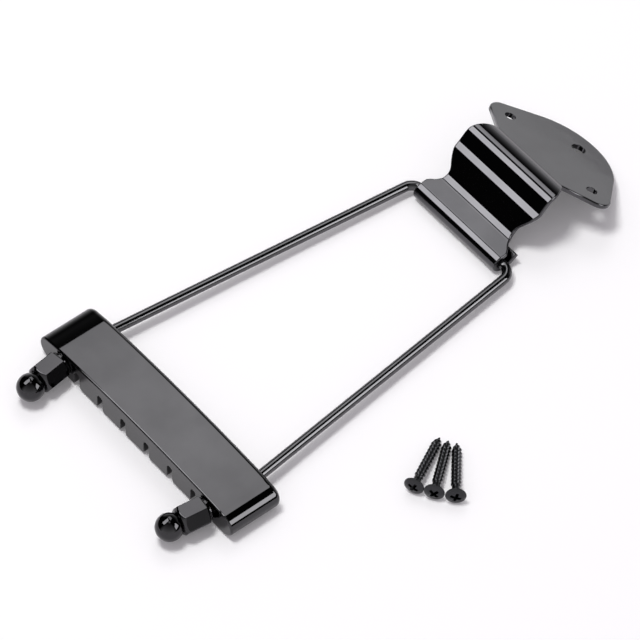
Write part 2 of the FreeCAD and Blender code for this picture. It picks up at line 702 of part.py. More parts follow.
def trim_sheet(body):
    """The waist beside the barrel and the narrowing of the crest towards the root."""
    v = VALUES
    half = v["bracket_half"]
    waist = new_sketch(body, "waist_cuts", "XY_Plane")
    past = v["overrun"]
    radius = v["waist_radius"]
    for sign, hand in ((1, "right"), (-1, "left")):
        centre = Vector(sign * v["waist_side"], v["waist_reach"], 0)
        low = centre - Vector(0, radius, 0)
        outer = Vector(sign * (half + past), v["waist_run_out"], 0)
        touch = tangent_point(outer, centre, radius, -sign)
        arc = draw_arc(waist, centre, radius, low, touch, -sign)
        points = [touch, outer, Vector(outer.x, low.y, 0), low]
        lines = [draw_line(waist, points[i], points[i + 1]) for i in range(3)]
        waist.addConstraint(Constraint("Tangent", arc[0], arc[2], lines[0], 1))
        waist.addConstraint(Constraint("Coincident", lines[0], 2, lines[1], 1))
        waist.addConstraint(Constraint("Coincident", lines[1], 2, lines[2], 1))
        waist.addConstraint(Constraint("Coincident", lines[2], 2, arc[0], arc[1]))
        waist.addConstraint(Constraint("Vertical", lines[1]))
        waist.addConstraint(Constraint("Horizontal", lines[2]))
        waist.addConstraint(Constraint("Vertical", arc[0], arc[1], arc[0], 3))
        prefix = "" if sign > 0 else "-"
        edge = size("bracket_half") + " + " + size("overrun")
        bind(waist, Constraint("Radius", arc[0], radius), hand + "_radius", size("waist_radius"))
        bind(waist, Constraint("DistanceX", -1, 1, arc[0], 3, centre.x), hand + "_side",
             prefix + size("waist_side"))
        bind(waist, Constraint("DistanceY", -1, 1, arc[0], 3, centre.y), hand + "_reach", size("waist_reach"))
        bind(waist, Constraint("DistanceX", -1, 1, lines[0], 2, outer.x), hand + "_edge",
             prefix + "(" + edge + ")")
        bind(waist, Constraint("DistanceY", -1, 1, lines[0], 2, outer.y), hand + "_run_out",
             size("waist_run_out"))
    heights = ("root_height", "crest_bend_radius", "sheet", "overrun")
    tall = " + ".join(size(alias) for alias in heights)
    pocket(body, "waist", waist, "2 * (" + tall + ")", middle=True)

    corner = new_sketch(body, "crest_corner_cuts", "XY_Plane")
    radius = v["crest_corner_radius"]
    start = v["root_side"] - v["root_corner_length"]
    root = v["root_side"]
    for sign in (1, -1):
        centre = Vector(sign * (half - radius), start, 0)
        arc_start = Vector(sign * half, start, 0)
        arc_end = Vector(sign * v["root_half"], root, 0)
        points = [
            arc_end,
            Vector(sign * v["root_half"], root + past, 0),
            Vector(sign * (half + past), root + past, 0),
            Vector(sign * (half + past), start, 0),
            arc_start,
        ]
        arc = draw_arc(corner, centre, radius, arc_start, arc_end, sign)
        lines = [draw_line(corner, points[i], points[i + 1]) for i in range(4)]
        corner.addConstraint(Constraint("Coincident", arc[0], arc[2], lines[0], 1))
        for one, two in zip(lines, lines[1:]):
            corner.addConstraint(Constraint("Coincident", one, 2, two, 1))
        corner.addConstraint(Constraint("Coincident", lines[-1], 2, arc[0], arc[1]))
        for line, kind in zip(lines, ("Vertical", "Horizontal", "Vertical", "Horizontal")):
            corner.addConstraint(Constraint(kind, line))
        hand = "right" if sign > 0 else "left"
        formula = ("" if sign > 0 else "-") + size("bracket_half")
        bind(corner, Constraint("Radius", arc[0], radius), hand + "_radius", size("crest_corner_radius"))
        bind(corner, Constraint("DistanceX", -1, 1, arc[0], arc[1], sign * half), hand + "_half", formula)
        bind(corner, Constraint("DistanceY", -1, 1, arc[0], 3, start), hand + "_start",
             size("root_side") + " - " + size("root_corner_length"))
        bind(corner, Constraint("DistanceY", -1, 1, arc[0], arc[2], root), hand + "_root", size("root_side"))
        bind(corner, Constraint("DistanceY", lines[0], 1, lines[0], 2, past), hand + "_past",
             size("overrun"))
        bind(corner, Constraint("DistanceX", -1, 1, lines[2], 1, sign * (half + past)), hand + "_edge",
             formula + (" + " if sign > 0 else " - ") + size("overrun"))
    pocket(body, "crest_corners", corner, "2 * (" + tall + ")", middle=True)


def flange_outline(body):
    """The flat flange in its own slope: narrow root, two swept wings, rounded apex."""
    v = VALUES
    slope_start = Vector(0, v["root_side"], v["root_height"])
    slope = Placement(slope_start, Rotation(Vector(1, 0, 0), -v["flange_fall"]))
    sketch = new_sketch(body, "flange_outline", "XY_Plane", slope)
    apex_centre = Vector(0, v["apex_centre"], 0)
    apex_radius = v["flange_apex_radius"]
    loop = []
    ends = {}
    for sign in (1, -1):
        wing = Vector(sign * v["wing_side"], v["wing_reach"], 0)
        corner = Vector(sign * v["root_half"], 0, 0)
        inner = tangent_point(corner, wing, v["wing_radius"], -sign)
        across = wing - apex_centre
        line_angle = math.degrees(math.atan2(across.y, across.x))
        opening = math.degrees(math.acos((apex_radius - v["wing_radius"]) / across.Length))
        heading = line_angle + sign * opening
        outward = Vector(cosine(heading), sine(heading), 0)
        wing_end = wing + outward * v["wing_radius"]
        apex_end = apex_centre + outward * apex_radius
        ends[sign] = (corner, inner, wing, wing_end, apex_end)
    right, left = ends[1], ends[-1]
    loop.append((draw_line(sketch, left[0], right[0]), 1, 2))
    loop.append((draw_line(sketch, right[0], right[1]), 1, 2))
    loop.append(draw_arc(sketch, right[2], v["wing_radius"], right[1], right[3], 1))
    loop.append((draw_line(sketch, right[3], right[4]), 1, 2))
    loop.append(draw_arc(sketch, apex_centre, apex_radius, right[4], left[4], 1))
    loop.append((draw_line(sketch, left[4], left[3]), 1, 2))
    loop.append(draw_arc(sketch, left[2], v["wing_radius"], left[3], left[1], 1))
    loop.append((draw_line(sketch, left[1], left[0]), 1, 2))
    for i, one in enumerate(loop):
        two = loop[(i + 1) % len(loop)]
        kind = "Coincident" if i in (0, 7) else "Tangent"
        sketch.addConstraint(Constraint(kind, one[0], one[2], two[0], two[1]))
    sketch.addConstraint(Constraint("Symmetric", loop[0][0], 1, loop[0][0], 2, -1, 1))
    sketch.addConstraint(Constraint("Horizontal", loop[0][0]))
    sketch.addConstraint(Constraint("PointOnObject", loop[4][0], 3, -2))
    bind(sketch, Constraint("DistanceX", loop[0][0], 1, loop[0][0], 2, v["root_width"]), "root_width",
         size("root_width"))
    bind(sketch, Constraint("Radius", loop[4][0], apex_radius), "apex_radius", size("flange_apex_radius"))
    bind(sketch, Constraint("DistanceY", -1, 1, loop[4][0], 3, v["apex_centre"]), "apex_centre",
         size("apex_centre"))
    for arc, prefix, sign in ((loop[2], "right_wing", ""), (loop[6], "left_wing", "-")):
        side = v["wing_side"] if not sign else -v["wing_side"]
        bind(sketch, Constraint("Radius", arc[0], v["wing_radius"]), prefix + "_radius", size("wing_radius"))
        bind(sketch, Constraint("DistanceX", -1, 1, arc[0], 3, side), prefix + "_side",
             sign + size("wing_side"))
        bind(sketch, Constraint("DistanceY", -1, 1, arc[0], 3, v["wing_reach"]), prefix + "_reach",
             size("wing_reach"))
    return sketch, slope


def make_hinge_bracket():
    """The strip of sheet that carries the frame. Its own frame has the hinge axis
    on X."""
    v = VALUES
    body = new_body("hinge_bracket")
    spine = new_sketch(body, "plate_line", "YZ_Plane")
    names = [
        ("shelf_length",), ("foot_bend_radius",), ("riser_length",), ("shoulder_bend_radius",),
        ("shoulder_length",), ("step_bend_radius",), ("step_length",), ("crest_bend_radius",),
        ("crest_length",), ("back_bend_radius",), ("back_length",), ("root_bend_radius",),
    ]
    headings = {2: "riser_angle", 4: "shoulder_angle", 6: "step_angle", 8: "crest_rise", 10: "back_fall"}
    path = plate_path(v)
    last = draw_path(spine, path, names)
    spine.addConstraint(Constraint("PointOnObject", 0, 1, -2))
    spine.addConstraint(Constraint("Horizontal", 0))
    bind(spine, Constraint("DistanceY", -1, 1, 0, 1, v["roll_radius"]), "roll_radius", size("roll_radius"))
    for index, alias in headings.items():
        if alias == "back_fall":
            angle = Constraint("Angle", index, 1, -1, 1, math.radians(v[alias]))
        else:
            angle = Constraint("Angle", -1, 1, index, 1, math.radians(v[alias]))
        bind(spine, angle, alias, size(alias) + " * 1 deg")
    bind(spine, Constraint("DistanceY", -1, 1, last[0], last[2], v["root_height"]), "root_height",
         size("root_height"))
    pipe(body, "bent_strip", strip_section(body, "strip_section"), spine)
    trim_sheet(body)

    outline, slope = flange_outline(body)
    pad(body, "flange", outline, size("sheet"), middle=True)
    holes = new_sketch(body, "mounting_holes", "XY_Plane", slope)
    circle_in(holes, 0, v["end_pin_hole_reach"], v["end_pin_hole_diameter"] / 2, "end_pin", "",
              size("end_pin_hole_reach"), size("end_pin_hole_diameter") + " / 2")
    spacing = v["screw_hole_spacing"] / 2
    for side, sign, prefix in ((spacing, "", "right"), (-spacing, "-", "left")):
        circle_in(holes, side, v["screw_hole_reach"], v["screw_hole_diameter"] / 2, prefix,
                  sign + size("screw_hole_spacing") + " / 2", size("screw_hole_reach"),
                  size("screw_hole_diameter") + " / 2")
    pocket(body, "mounting_hole_cuts", holes, size("sheet") + " + " + size("overrun"), middle=True)

    roll = new_sketch(body, "roll_line", "YZ_Plane")
    turned = STRAIGHT_ANGLE + (STRAIGHT_ANGLE + v["roll_tail_rise"])
    curl = [(v["roll_radius"], turned)]
    path = bend_path((0, v["roll_radius"]), STRAIGHT_ANGLE, [0, v["tail_length"]], curl)
    draw_path(roll, path, [("roll_radius",), ("tail_length",)])
    roll.addConstraint(Constraint("Coincident", 0, 3, -1, 1))
    roll.addConstraint(Constraint("PointOnObject", 0, 1, -2))
    bind(roll, Constraint("Angle", -1, 1, 1, 1, math.radians(v["roll_tail_rise"])), "roll_tail_rise",
         size("roll_tail_rise") + " * 1 deg")
    feature = pipe(body, "rolled_barrel", strip_section(body, "roll_section"), roll)
    tip(body, feature)
    return body


def closed_profile(sketch, points):
    """A closed loop of straight lines. Each point is given by its two coordinates
    and by the formulas that tie them to the sheet, empty where it is on an axis."""
    names = list(points)
    corners = [Vector(points[name][0], points[name][1], 0) for name in names]
    count = len(names)
    lines = [draw_line(sketch, corners[i], corners[(i + 1) % count]) for i in range(count)]
    for i, name in enumerate(names):
        sketch.addConstraint(Constraint("Coincident", lines[i - 1], 2, lines[i], 1))
        side, up, side_formula, up_formula = points[name]
        if side_formula:
            bind(sketch, Constraint("DistanceX", -1, 1, lines[i], 1, side), name + "_side", side_formula)
        else:
            sketch.addConstraint(Constraint("PointOnObject", lines[i], 1, -2))
        if up_formula:
            bind(sketch, Constraint("DistanceY", -1, 1, lines[i], 1, up), name + "_up", up_formula)
        else:
            sketch.addConstraint(Constraint("PointOnObject", lines[i], 1, -1))


def make_screw(name):
    """A wood screw on its own axis: +Z runs from the top of the head to the point."""
    v = VALUES
    body = new_body(name)
    profile = new_sketch(body, "screw_profile", "XZ_Plane")
    head = v["screw_head_diameter"] / 2
    crown = v["screw_head_crown"]
    shank = v["screw_diameter"] / 2
    points = {
        "top": (0, 0, "", ""),
        "flat": (v["screw_crown_flat"] / 2, 0, size("screw_crown_flat") + " / 2", ""),
        "rim": (head, crown, size("screw_head_diameter") + " / 2", size("screw_head_crown")),
        "neck": (shank, crown + v["screw_head_cone"], size("screw_diameter") + " / 2",
                 size("screw_head_crown") + " + " + size("screw_head_cone")),
        "body_end": (shank, v["screw_body_end"], size("screw_diameter") + " / 2", size("screw_body_end")),
        "point": (v["screw_point_diameter"] / 2, v["screw_length"], size("screw_point_diameter") + " / 2",
                  size("screw_length")),
        "end": (0, v["screw_length"], "", size("screw_length")),
    }
    closed_profile(profile, points)
    turned = body.newObject("PartDesign::Revolution", "turned_screw")
    turned.Profile = profile
    turned.ReferenceAxis = (profile, ["V_Axis"])
    doc.recompute()

    cross = new_sketch(body, "cross_recess", "XY_Plane")
    wide = v["recess_width"] / 2
    thin = v["recess_slot"] / 2
    turns = [Vector(wide, -thin, 0), Vector(wide, thin, 0), Vector(thin, thin, 0)]
    corners = []
    for quarter in range(4):
        turn = Rotation(Vector(0, 0, 1), RIGHT_ANGLE * quarter)
        corners.extend(turn.multVec(corner) for corner in turns)
    sides = [draw_line(cross, corners[i], corners[(i + 1) % len(corners)]) for i in range(len(corners))]
    for i in range(len(corners)):
        cross.addConstraint(Constraint("Coincident", sides[i], 2, sides[(i + 1) % len(corners)], 1))
    bind(cross, Constraint("DistanceY", sides[0], 1, sides[0], 2, 2 * thin), "recess_slot",
         size("recess_slot"))
    pocket(body, "driver_recess", cross, size("recess_depth"), reverse=True)
    return body


def place_all(bodies):
    """Lays the pieces as they rest: the bracket on its barrel and its flange's edge,
    the frame on the barrel and the crossbar's foot, the screws beside it."""
    v = VALUES
    hinge = Vector(0, -v["hinge_back"], -v["hinge_drop"])
    lean = Rotation(Vector(1, 0, 0), v["bracket_lean"])
    lift = Rotation(Vector(1, 0, 0), -v["frame_lift"])
    bodies["hinge_bracket"].Placement = Placement(hinge, lean)
    bodies["wire_frame"].Placement = Placement(hinge, lift)
    bodies["crossbar"].Placement = Placement(hinge + lift.multVec(Vector(0, -v["frame_reach"], 0)), lift)
    for name, side in (("left_ball_nut", -1), ("right_ball_nut", 1)):
        seat = Vector(side * v["nut_seat_side"], -v["frame_reach"] - v["nut_lift"], 0)
        along = Rotation(Vector(1, 0, 0), RIGHT_ANGLE)
        toe = Rotation(Vector(0, 0, 1), -side * v["end_toe_in"])
        bodies[name].Placement = Placement(hinge + lift.multVec(seat), lift * toe * along)
    table = hinge.z - v["barrel_radius"]
    head_radius = v["screw_head_diameter"] / 2
    head_height = head_radius * cosine(v["screw_tilt"]) + v["screw_head_crown"] * sine(v["screw_tilt"])
    flat = Rotation(Vector(0, 1, 0), RIGHT_ANGLE + v["screw_tilt"])
    for order, degrees in SCREW_ANGLES.items():
        heading = Rotation(Vector(0, 0, 1), degrees)
        top = Vector(v[order + "_screw_side"], hinge.y - v[order + "_screw_back"], table + head_height)
        bodies[order + "_screw"].Placement = Placement(top, heading * flat)


def check_and_export(bodies):
    doc.recompute()
    for item in doc.Objects:
        if "Invalid" in item.State or "Error" in item.State:
            raise RuntimeError("%s failed: %s" % (item.Name, item.State))
    os.makedirs("parts", exist_ok=True)
    whole = FreeCAD.BoundBox()
    for name, body in bodies.items():
        shape = body.Shape
        if shape.isNull() or not shape.isValid() or len(shape.Solids) != 1:
            raise RuntimeError(name + " is not one valid solid")
        shape.exportStep("parts/%s.step" % name)
        whole.add(shape.BoundBox)
        box = shape.BoundBox
        print(
            "%-16s %8.1f mm3  X %7.2f %7.2f  Y %7.2f %7.2f  Z %6.2f %6.2f"
            % (name, shape.Volume, box.XMin, box.XMax, box.YMin, box.YMax, box.ZMin, box.ZMax)
        )
    print("whole %.2f x %.2f x %.2f mm" % (whole.XLength, whole.YLength, whole.ZLength))


fill_sheet()
BODIES = {
    "hinge_bracket": make_hinge_bracket(),
    "wire_frame": make_wire_frame(),
    "crossbar": make_crossbar(),
    "left_ball_nut": make_ball_nut("left_ball_nut"),
    "right_ball_nut": make_ball_nut("right_ball_nut"),
}
for screw in SCREW_ANGLES:
    BODIES[screw + "_screw"] = make_screw(screw + "_screw")
place_all(BODIES)
check_and_export(BODIES)
for alias in ("hinge_back", "hinge_drop", "bracket_lean", "frame_lift", "nut_seat_side", "bend_spread"):
    print(alias, round(VALUES[alias], 4))
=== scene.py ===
"""Dressed model of a trapeze tailpiece, lying flat with its three wood screws."""

import json
import logging
import math
from abc import ABC, abstractmethod
from dataclasses import dataclass, field
from enum import Enum
from typing import ClassVar

import bmesh
import bpy
import numpy as np
from mathutils import Euler, Matrix, Vector
from mathutils.geometry import tessellate_polygon


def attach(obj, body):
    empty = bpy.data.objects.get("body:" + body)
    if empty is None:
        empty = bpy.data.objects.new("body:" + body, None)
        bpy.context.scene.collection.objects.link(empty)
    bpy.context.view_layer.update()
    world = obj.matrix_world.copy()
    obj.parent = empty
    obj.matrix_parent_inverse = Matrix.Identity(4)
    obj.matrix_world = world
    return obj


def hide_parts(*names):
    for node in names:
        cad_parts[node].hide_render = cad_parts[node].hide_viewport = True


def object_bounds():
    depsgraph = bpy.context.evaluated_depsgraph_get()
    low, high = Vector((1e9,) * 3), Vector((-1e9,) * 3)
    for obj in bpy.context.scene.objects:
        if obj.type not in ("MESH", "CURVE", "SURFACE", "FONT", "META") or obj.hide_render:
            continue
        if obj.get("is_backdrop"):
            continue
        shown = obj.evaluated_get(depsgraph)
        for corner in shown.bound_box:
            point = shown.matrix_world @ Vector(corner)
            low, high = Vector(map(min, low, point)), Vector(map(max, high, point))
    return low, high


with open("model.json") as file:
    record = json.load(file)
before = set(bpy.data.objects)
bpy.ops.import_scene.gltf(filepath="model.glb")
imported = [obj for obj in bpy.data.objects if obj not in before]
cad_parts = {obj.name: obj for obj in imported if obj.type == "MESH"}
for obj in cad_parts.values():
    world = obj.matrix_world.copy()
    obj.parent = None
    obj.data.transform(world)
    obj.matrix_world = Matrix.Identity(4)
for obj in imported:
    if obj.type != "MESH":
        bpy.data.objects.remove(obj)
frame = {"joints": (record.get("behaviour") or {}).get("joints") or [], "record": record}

LOG = logging.getLogger("trapeze_tailpiece")
MM = 0.001
FULL_TURN = 2 * math.pi
QUARTER_TURN = math.pi / 2
BEND_STEP = math.radians(3.0)

# Sizes that several pieces share, in millimetres and degrees
FLANGE_FALL = 28.05
FRAME_REACH = 119.7
LEG_FLARE = 6.45364
END_TOE_IN = 7.4
# Length by which cutters run past the face that they leave
OVERRUN = 1.0
HEX_SIDES = 6
# The share of a straight stretch that the rounding of a corner may take
MOST_ROUNDED = 0.49
# How much more a large face counts than a small one where they share an edge, in percent
FLAT_FACE_WEIGHT = 80

Tree = bpy.types.NodeTree
Socket = bpy.types.NodeSocket
Object = bpy.types.Object


class Body(Enum):
    """Moving bodies of the tailpiece."""

    BRACKET = "bracket"
    FRAME = "frame"
    LEFT_NUT = "left_nut"
    RIGHT_NUT = "right_nut"


class Slot(Enum):
    """Material slots of the record."""

    SHEET = "bracket_sheet"
    WIRE = "frame_wire"
    CASTING = "bar_casting"
    NUT = "nut_metal"
    SCREW = "screw_steel"


# Mesh helpers


def add_mesh(
    name: str,
    points: np.ndarray,
    faces: list,
    seat: Matrix = Matrix.Identity(4),
    normals: np.ndarray | None = None,
) -> Object:
    """Makes a smooth mesh object, which stands at the origin.

    Args:
        name: Its name.
        points: Vertices, one row each, in the piece's own axes and in millimetres.
        faces: Vertex numbers of each face.
        seat: Where the piece's own axes stand in the row frame, in metres.
        normals: Surface direction at each vertex, or None to work it out.

    Returns:
        The new object.
    """
    turn = np.array(seat.to_3x3())
    placed = points * MM @ turn.T + np.array(seat.translation)
    mesh = bpy.data.meshes.new(name)
    mesh.from_pydata(placed.tolist(), [], faces)
    mesh.polygons.foreach_set("use_smooth", [True] * len(mesh.polygons))
    if normals is not None:
        mesh.normals_split_custom_set_from_vertices((normals @ turn.T).tolist())
    mesh.update()
    piece = bpy.data.objects.new(name, mesh)
    bpy.context.scene.collection.objects.link(piece)
    return piece


def ring_faces(rings: int, sides: int) -> list:
    """Quads that join a row of closed rings, with a flat cap at each end.

    Args:
        rings: Number of rings.
        sides: Number of points in each ring.

    Returns:
        Vertex numbers of each face.
    """
    faces = []
    for ring in range(rings - 1):
        base = ring * sides
        for side in range(sides):
            after = (side + 1) % sides
            faces.append((base + side, base + after, base + sides + after, base + sides + side))
    faces.append(tuple(range(sides))[::-1])
    faces.append(tuple(range((rings - 1) * sides, rings * sides)))
    return faces


def around(sides: int) -> np.ndarray:
    """Angles of the points of a circle."""
    return np.linspace(0, FULL_TURN, sides + 1)[:-1]


def on_circle(turn: np.ndarray) -> np.ndarray:
    """Rows of cosine and sine, the points of a circle of radius 1."""
    return np.c_[np.cos(turn), np.sin(turn)]


def rounded_corners(corners: list, steps: int = 6) -> np.ndarray:
    """A line through corners, each rounded by its own radius.

    Args:
        corners: (along, out, radius) of each corner, in order.
        steps: Points in each rounded corner.

    Returns:
        One (along, out) row for each point.
    """
    line = []
    for index, (along, out, radius) in enumerate(corners):
        corner = np.array((along, out), float)
        if radius <= 0 or index in (0, len(corners) - 1):
            line.append(corner)
            continue
        before = np.array(corners[index - 1][:2], float) - corner
        after = np.array(corners[index + 1][:2], float) - corner
        reach_before, reach_after = np.linalg.norm(before), np.linalg.norm(after)
        before, after = before / reach_before, after / reach_after
        half = math.acos(max(-1.0, min(1.0, float(before @ after)))) / 2
        cut = min(radius / math.tan(half), MOST_ROUNDED * reach_before, MOST_ROUNDED * reach_after)
        first, last = corner + before * cut, corner + after * cut
        for step in range(steps + 1):
            share = step / steps
            line.append((1 - share) ** 2 * first + 2 * share * (1 - share) * corner + share**2 * last)
    return np.array(line)


def smooth_through(knots: tuple, places: np.ndarray) -> np.ndarray:
    """A smooth curve through knots, level beyond both ends.

    Args:
        knots: (place, value) of each knot, in rising order.
        places: Where the curve is read.

    Returns:
        Its values there.
    """
    at, value = np.array(knots, float).T
    slope = np.gradient(value, at)
    slope[[0, -1]] = 0
    low = np.clip(np.searchsorted(at, places) - 1, 0, len(at) - 2)
    step = at[low + 1] - at[low]
    share = np.clip((places - at[low]) / step, 0, 1)
    rest = 1 - share
    from_low = value[low] * (1 + 2 * share) * rest**2 + step * slope[low] * share * rest**2
    from_high = value[low + 1] * (1 + 2 * rest) * share**2 - step * slope[low + 1] * rest * share**2
    return from_low + from_high


def turned_mesh(rings: list, angles: np.ndarray) -> tuple:
    """A closed turned shape from its rings along +Z.

    Args:
        rings: (height, radius at each angle) of each ring, in order.
        angles: Angles of the ring's points.

    Returns:
        Points and faces.
    """
    points = []
    for height, radii in rings:
        flat = np.broadcast_to(radii, angles.shape)[:, None]
        points.append(np.c_[flat * on_circle(angles), np.full(len(angles), height)])
    return np.vstack(points), ring_faces(len(rings), len(angles))


def soften_edges(piece: Object, width: float, angle: float, segments: int = 2) -> None:
    """Rounds a piece's sharp edges and keeps its flat faces flat to the light.

    Args:
        piece: The mesh object.
        width: Width of the rounding in millimetres.
        angle: Edges that turn by more than this many degrees are rounded.
        segments: Steps in the rounding.
    """
    bevel = piece.modifiers.new("edge_rounding", "BEVEL")
    bevel.width = width * MM
    bevel.segments = segments
    bevel.limit_method = "ANGLE"
    bevel.angle_limit = math.radians(angle)
    bevel.use_clamp_overlap = False
    bevel.miter_outer = "MITER_ARC"
    weighted = piece.modifiers.new("flat_faces", "WEIGHTED_NORMAL")
    weighted.keep_sharp = True
    weighted.weight = FLAT_FACE_WEIGHT


def cut_away(piece: Object, cutters: list) -> None:
    """Cuts shapes out of a piece, which stays smooth, and deletes them.

    Args:
        piece: The mesh object that is cut.
        cutters: Closed mesh objects.
    """
    for cutter in cutters:
        cut = piece.modifiers.new("cut", "BOOLEAN")
        cut.operation = "DIFFERENCE"
        cut.solver = "EXACT"
        cut.object = cutter
    depsgraph = bpy.context.evaluated_depsgraph_get()
    mesh = bpy.data.meshes.new_from_object(piece.evaluated_get(depsgraph))
    old = piece.data
    piece.modifiers.clear()
    piece.data = mesh
    mesh.name = old.name
    mesh.polygons.foreach_set("use_smooth", [True] * len(mesh.polygons))
    bpy.data.meshes.remove(old)
    for cutter in cutters:
        data = cutter.data
        bpy.data.objects.remove(cutter)
        bpy.data.meshes.remove(data)


@dataclass(frozen=True)
class Span:
    """One straight or round stretch of a bent line."""

    start: float
    end: float
    x: float
    y: float
    heading: float
    curvature: float


class BentLine:
    """A flat line of straight legs and round bends, measured along its length."""

    def __init__(self, start: tuple, heading: float, legs: list, bends: list) -> None:
        """Lays out the line.

        Args:
            start: Its first point.
            heading: Its first heading in degrees.
            legs: Straight lengths.
            bends: (radius, new heading in degrees) between one leg and the next.
        """
        self.spans: list[Span] = []
        x, y = start
        turned = math.radians(heading)
        travelled = 0.0
        for index, leg in enumerate(legs):
            self.spans.append(Span(travelled, travelled + leg, x, y, turned, 0.0))
            x, y = x + leg * math.cos(turned), y + leg * math.sin(turned)
            travelled += leg
            if index < len(bends):
                radius, target = bends[index]
                change = math.radians(target) - turned
                curvature = math.copysign(1 / radius, change)
                length = radius * abs(change)
                self.spans.append(Span(travelled, travelled + length, x, y, turned, curvature))
                x += (math.sin(turned + change) - math.sin(turned)) / curvature
                y -= (math.cos(turned + change) - math.cos(turned)) / curvature
                turned += change
                travelled += length
        self.length = travelled

    def at(self, travelled: np.ndarray) -> tuple:
        """Points and headings at distances along the line.

        Args:
            travelled: Distances from the start.

        Returns:
            x, y and heading in radians, one array each.
        """
        travelled = np.asarray(travelled, float)
        x, y, heading = (np.zeros_like(travelled) for _ in range(3))
        for index, span in enumerate(self.spans):
            last = index == len(self.spans) - 1
            here = (travelled >= span.start) & ((travelled < span.end) | last)
            along = travelled[here] - span.start
            turned = span.heading + span.curvature * along
            if span.curvature:
                x[here] = span.x + (np.sin(turned) - math.sin(span.heading)) / span.curvature
                y[here] = span.y - (np.cos(turned) - math.cos(span.heading)) / span.curvature
            else:
                x[here] = span.x + along * math.cos(span.heading)
                y[here] = span.y + along * math.sin(span.heading)
            heading[here] = turned
        return x, y, heading

    def stations(self, step: float = BEND_STEP) -> list:
        """Distances at which a surface that follows the line is divided.

        Args:
            step: Largest turn between two stations, in radians.

        Returns:
            The distances in rising order.
        """
        found = [0.0]
        for span in self.spans:
            turn = abs(span.curvature) * (span.end - span.start)
            parts = max(1, math.ceil(turn / step))
            found.extend(np.linspace(span.start, span.end, parts + 1)[1:].tolist())
        return found


# Finishes


def new_group(name: str, inputs: list, outputs: list) -> Tree:
    """An empty shader node group.

    Args:
        name: Name of the group.
        inputs: (socket type, name, default) of each input.
        outputs: (socket type, name) of each output.

    Returns:
        The group with its input and output nodes.
    """
    group = bpy.data.node_groups.new(name, "ShaderNodeTree")
    for kind, label, value in inputs:
        socket = group.interface.new_socket(label, in_out="INPUT", socket_type=kind)
        socket.default_value = value
    for kind, label in outputs:
        group.interface.new_socket(label, in_out="OUTPUT", socket_type=kind)
    group.nodes.new("NodeGroupInput")
    group.nodes.new("NodeGroupOutput")
    return group


def feed(tree: Tree, socket: Socket, value: object) -> None:
    """Gives an input what it takes.

    Args:
        tree: The node tree.
        socket: The input.
        value: Another node's output, which is linked to it, or a constant, which is set on it.
    """
    if isinstance(value, Socket):
        tree.links.new(value, socket)
    else:
        socket.default_value = value


def add_node(tree: Tree, kind: str, result: str, inputs: dict, **settings: object) -> Socket:
    """Adds a shader node.

    Args:
        tree: The node tree that it is added to.
        kind: The node's type.
        result: Name of the output that is wanted.
        inputs: What each input takes, by its name or number: another node's output, or a constant.
        settings: The node's own settings.

    Returns:
        That output.
    """
    node = tree.nodes.new("ShaderNode" + kind)
    for name, value in settings.items():
        setattr(node, name, value)
    for label, value in inputs.items():
        feed(tree, node.inputs[label], value)
    return node.outputs[result]


def maths(tree: Tree, operation: str, *values: object) -> Socket:
    """The result of a sum on outputs and constants."""
    return add_node(tree, "Math", "Value", dict(enumerate(values)), operation=operation)


def rescaled(tree: Tree, value: Socket, span: tuple, to: tuple) -> Socket:
    """A value carried from one span to another and held within it."""
    inputs = zip(("Value", "From Min", "From Max", "To Min", "To Max"), (value, *span, *to))
    return add_node(tree, "MapRange", "Result", dict(inputs))


def mixed(tree: Tree, share: Socket, first: object, second: object) -> Socket:
    """The colour at a share of the way from one to another."""
    return add_node(tree, "Mix", "Result", {"Factor": share, "A": first, "B": second}, data_type="RGBA")


def new_material(name: str) -> tuple:
    """A new material with its node tree.

    Args:
        name: Its name.

    Returns:
        The material and the tree.
    """
    material = bpy.data.materials.new(name)
    material.use_nodes = True
    return material, material.node_tree


# How fine each of the film's textures is, and how many finer layers it has: clouds, fine grain, specks and swell
FILM_TEXTURES = ((90, 4), (900, 3), (2600, 1), (130, 1))
DUST_COLOUR = (0.62, 0.6, 0.57, 1)
DUST_DULLNESS = 0.5
FINE_HEIGHT = 0.06
BUMP_DISTANCE = 0.1 * MM


def plating_group() -> Tree:
    """The film of a plated surface: slight unevenness, haze, specks of dust.

    Returns:
        A group that puts out a colour, a roughness and a height.
    """
    name = "plating_film"
    if name in bpy.data.node_groups:
        return bpy.data.node_groups[name]
    tree = new_group(
        name,
        [
            ("NodeSocketColor", "Metal", (0.2, 0.2, 0.2, 1)),
            ("NodeSocketFloat", "Polish", 0.1),
            ("NodeSocketFloat", "Haze", 0.05),
            ("NodeSocketFloat", "Dust", 0.02),
        ],
        [("NodeSocketColor", "Color"), ("NodeSocketFloat", "Roughness"), ("NodeSocketFloat", "Height")],
    )
    given = next(node for node in tree.nodes if node.type == "GROUP_INPUT").outputs
    result = next(node for node in tree.nodes if node.type == "GROUP_OUTPUT").inputs
    place = add_node(tree, "TexCoord", "Object", {})
    cloud, fine, speck, swell = (
        add_node(tree, "TexNoise", "Fac", {"Vector": place, "Scale": scale, "Detail": detail})
        for scale, detail in FILM_TEXTURES
    )
    tone = rescaled(tree, cloud, (0.35, 0.65), (0.93, 1.05))
    tinted = add_node(tree, "VectorMath", "Vector", {0: given["Metal"], "Scale": tone}, operation="SCALE")
    dust = maths(tree, "MULTIPLY", rescaled(tree, speck, (0.72, 0.8), (0.0, 1.0)), given["Dust"])
    blur = maths(tree, "MULTIPLY_ADD", fine, given["Haze"], given["Polish"])
    feed(tree, result["Color"], mixed(tree, dust, tinted, DUST_COLOUR))
    feed(tree, result["Roughness"], maths(tree, "MULTIPLY_ADD", dust, DUST_DULLNESS, blur))
    feed(tree, result["Height"], maths(tree, "MULTIPLY_ADD", fine, FINE_HEIGHT, swell))
    return tree


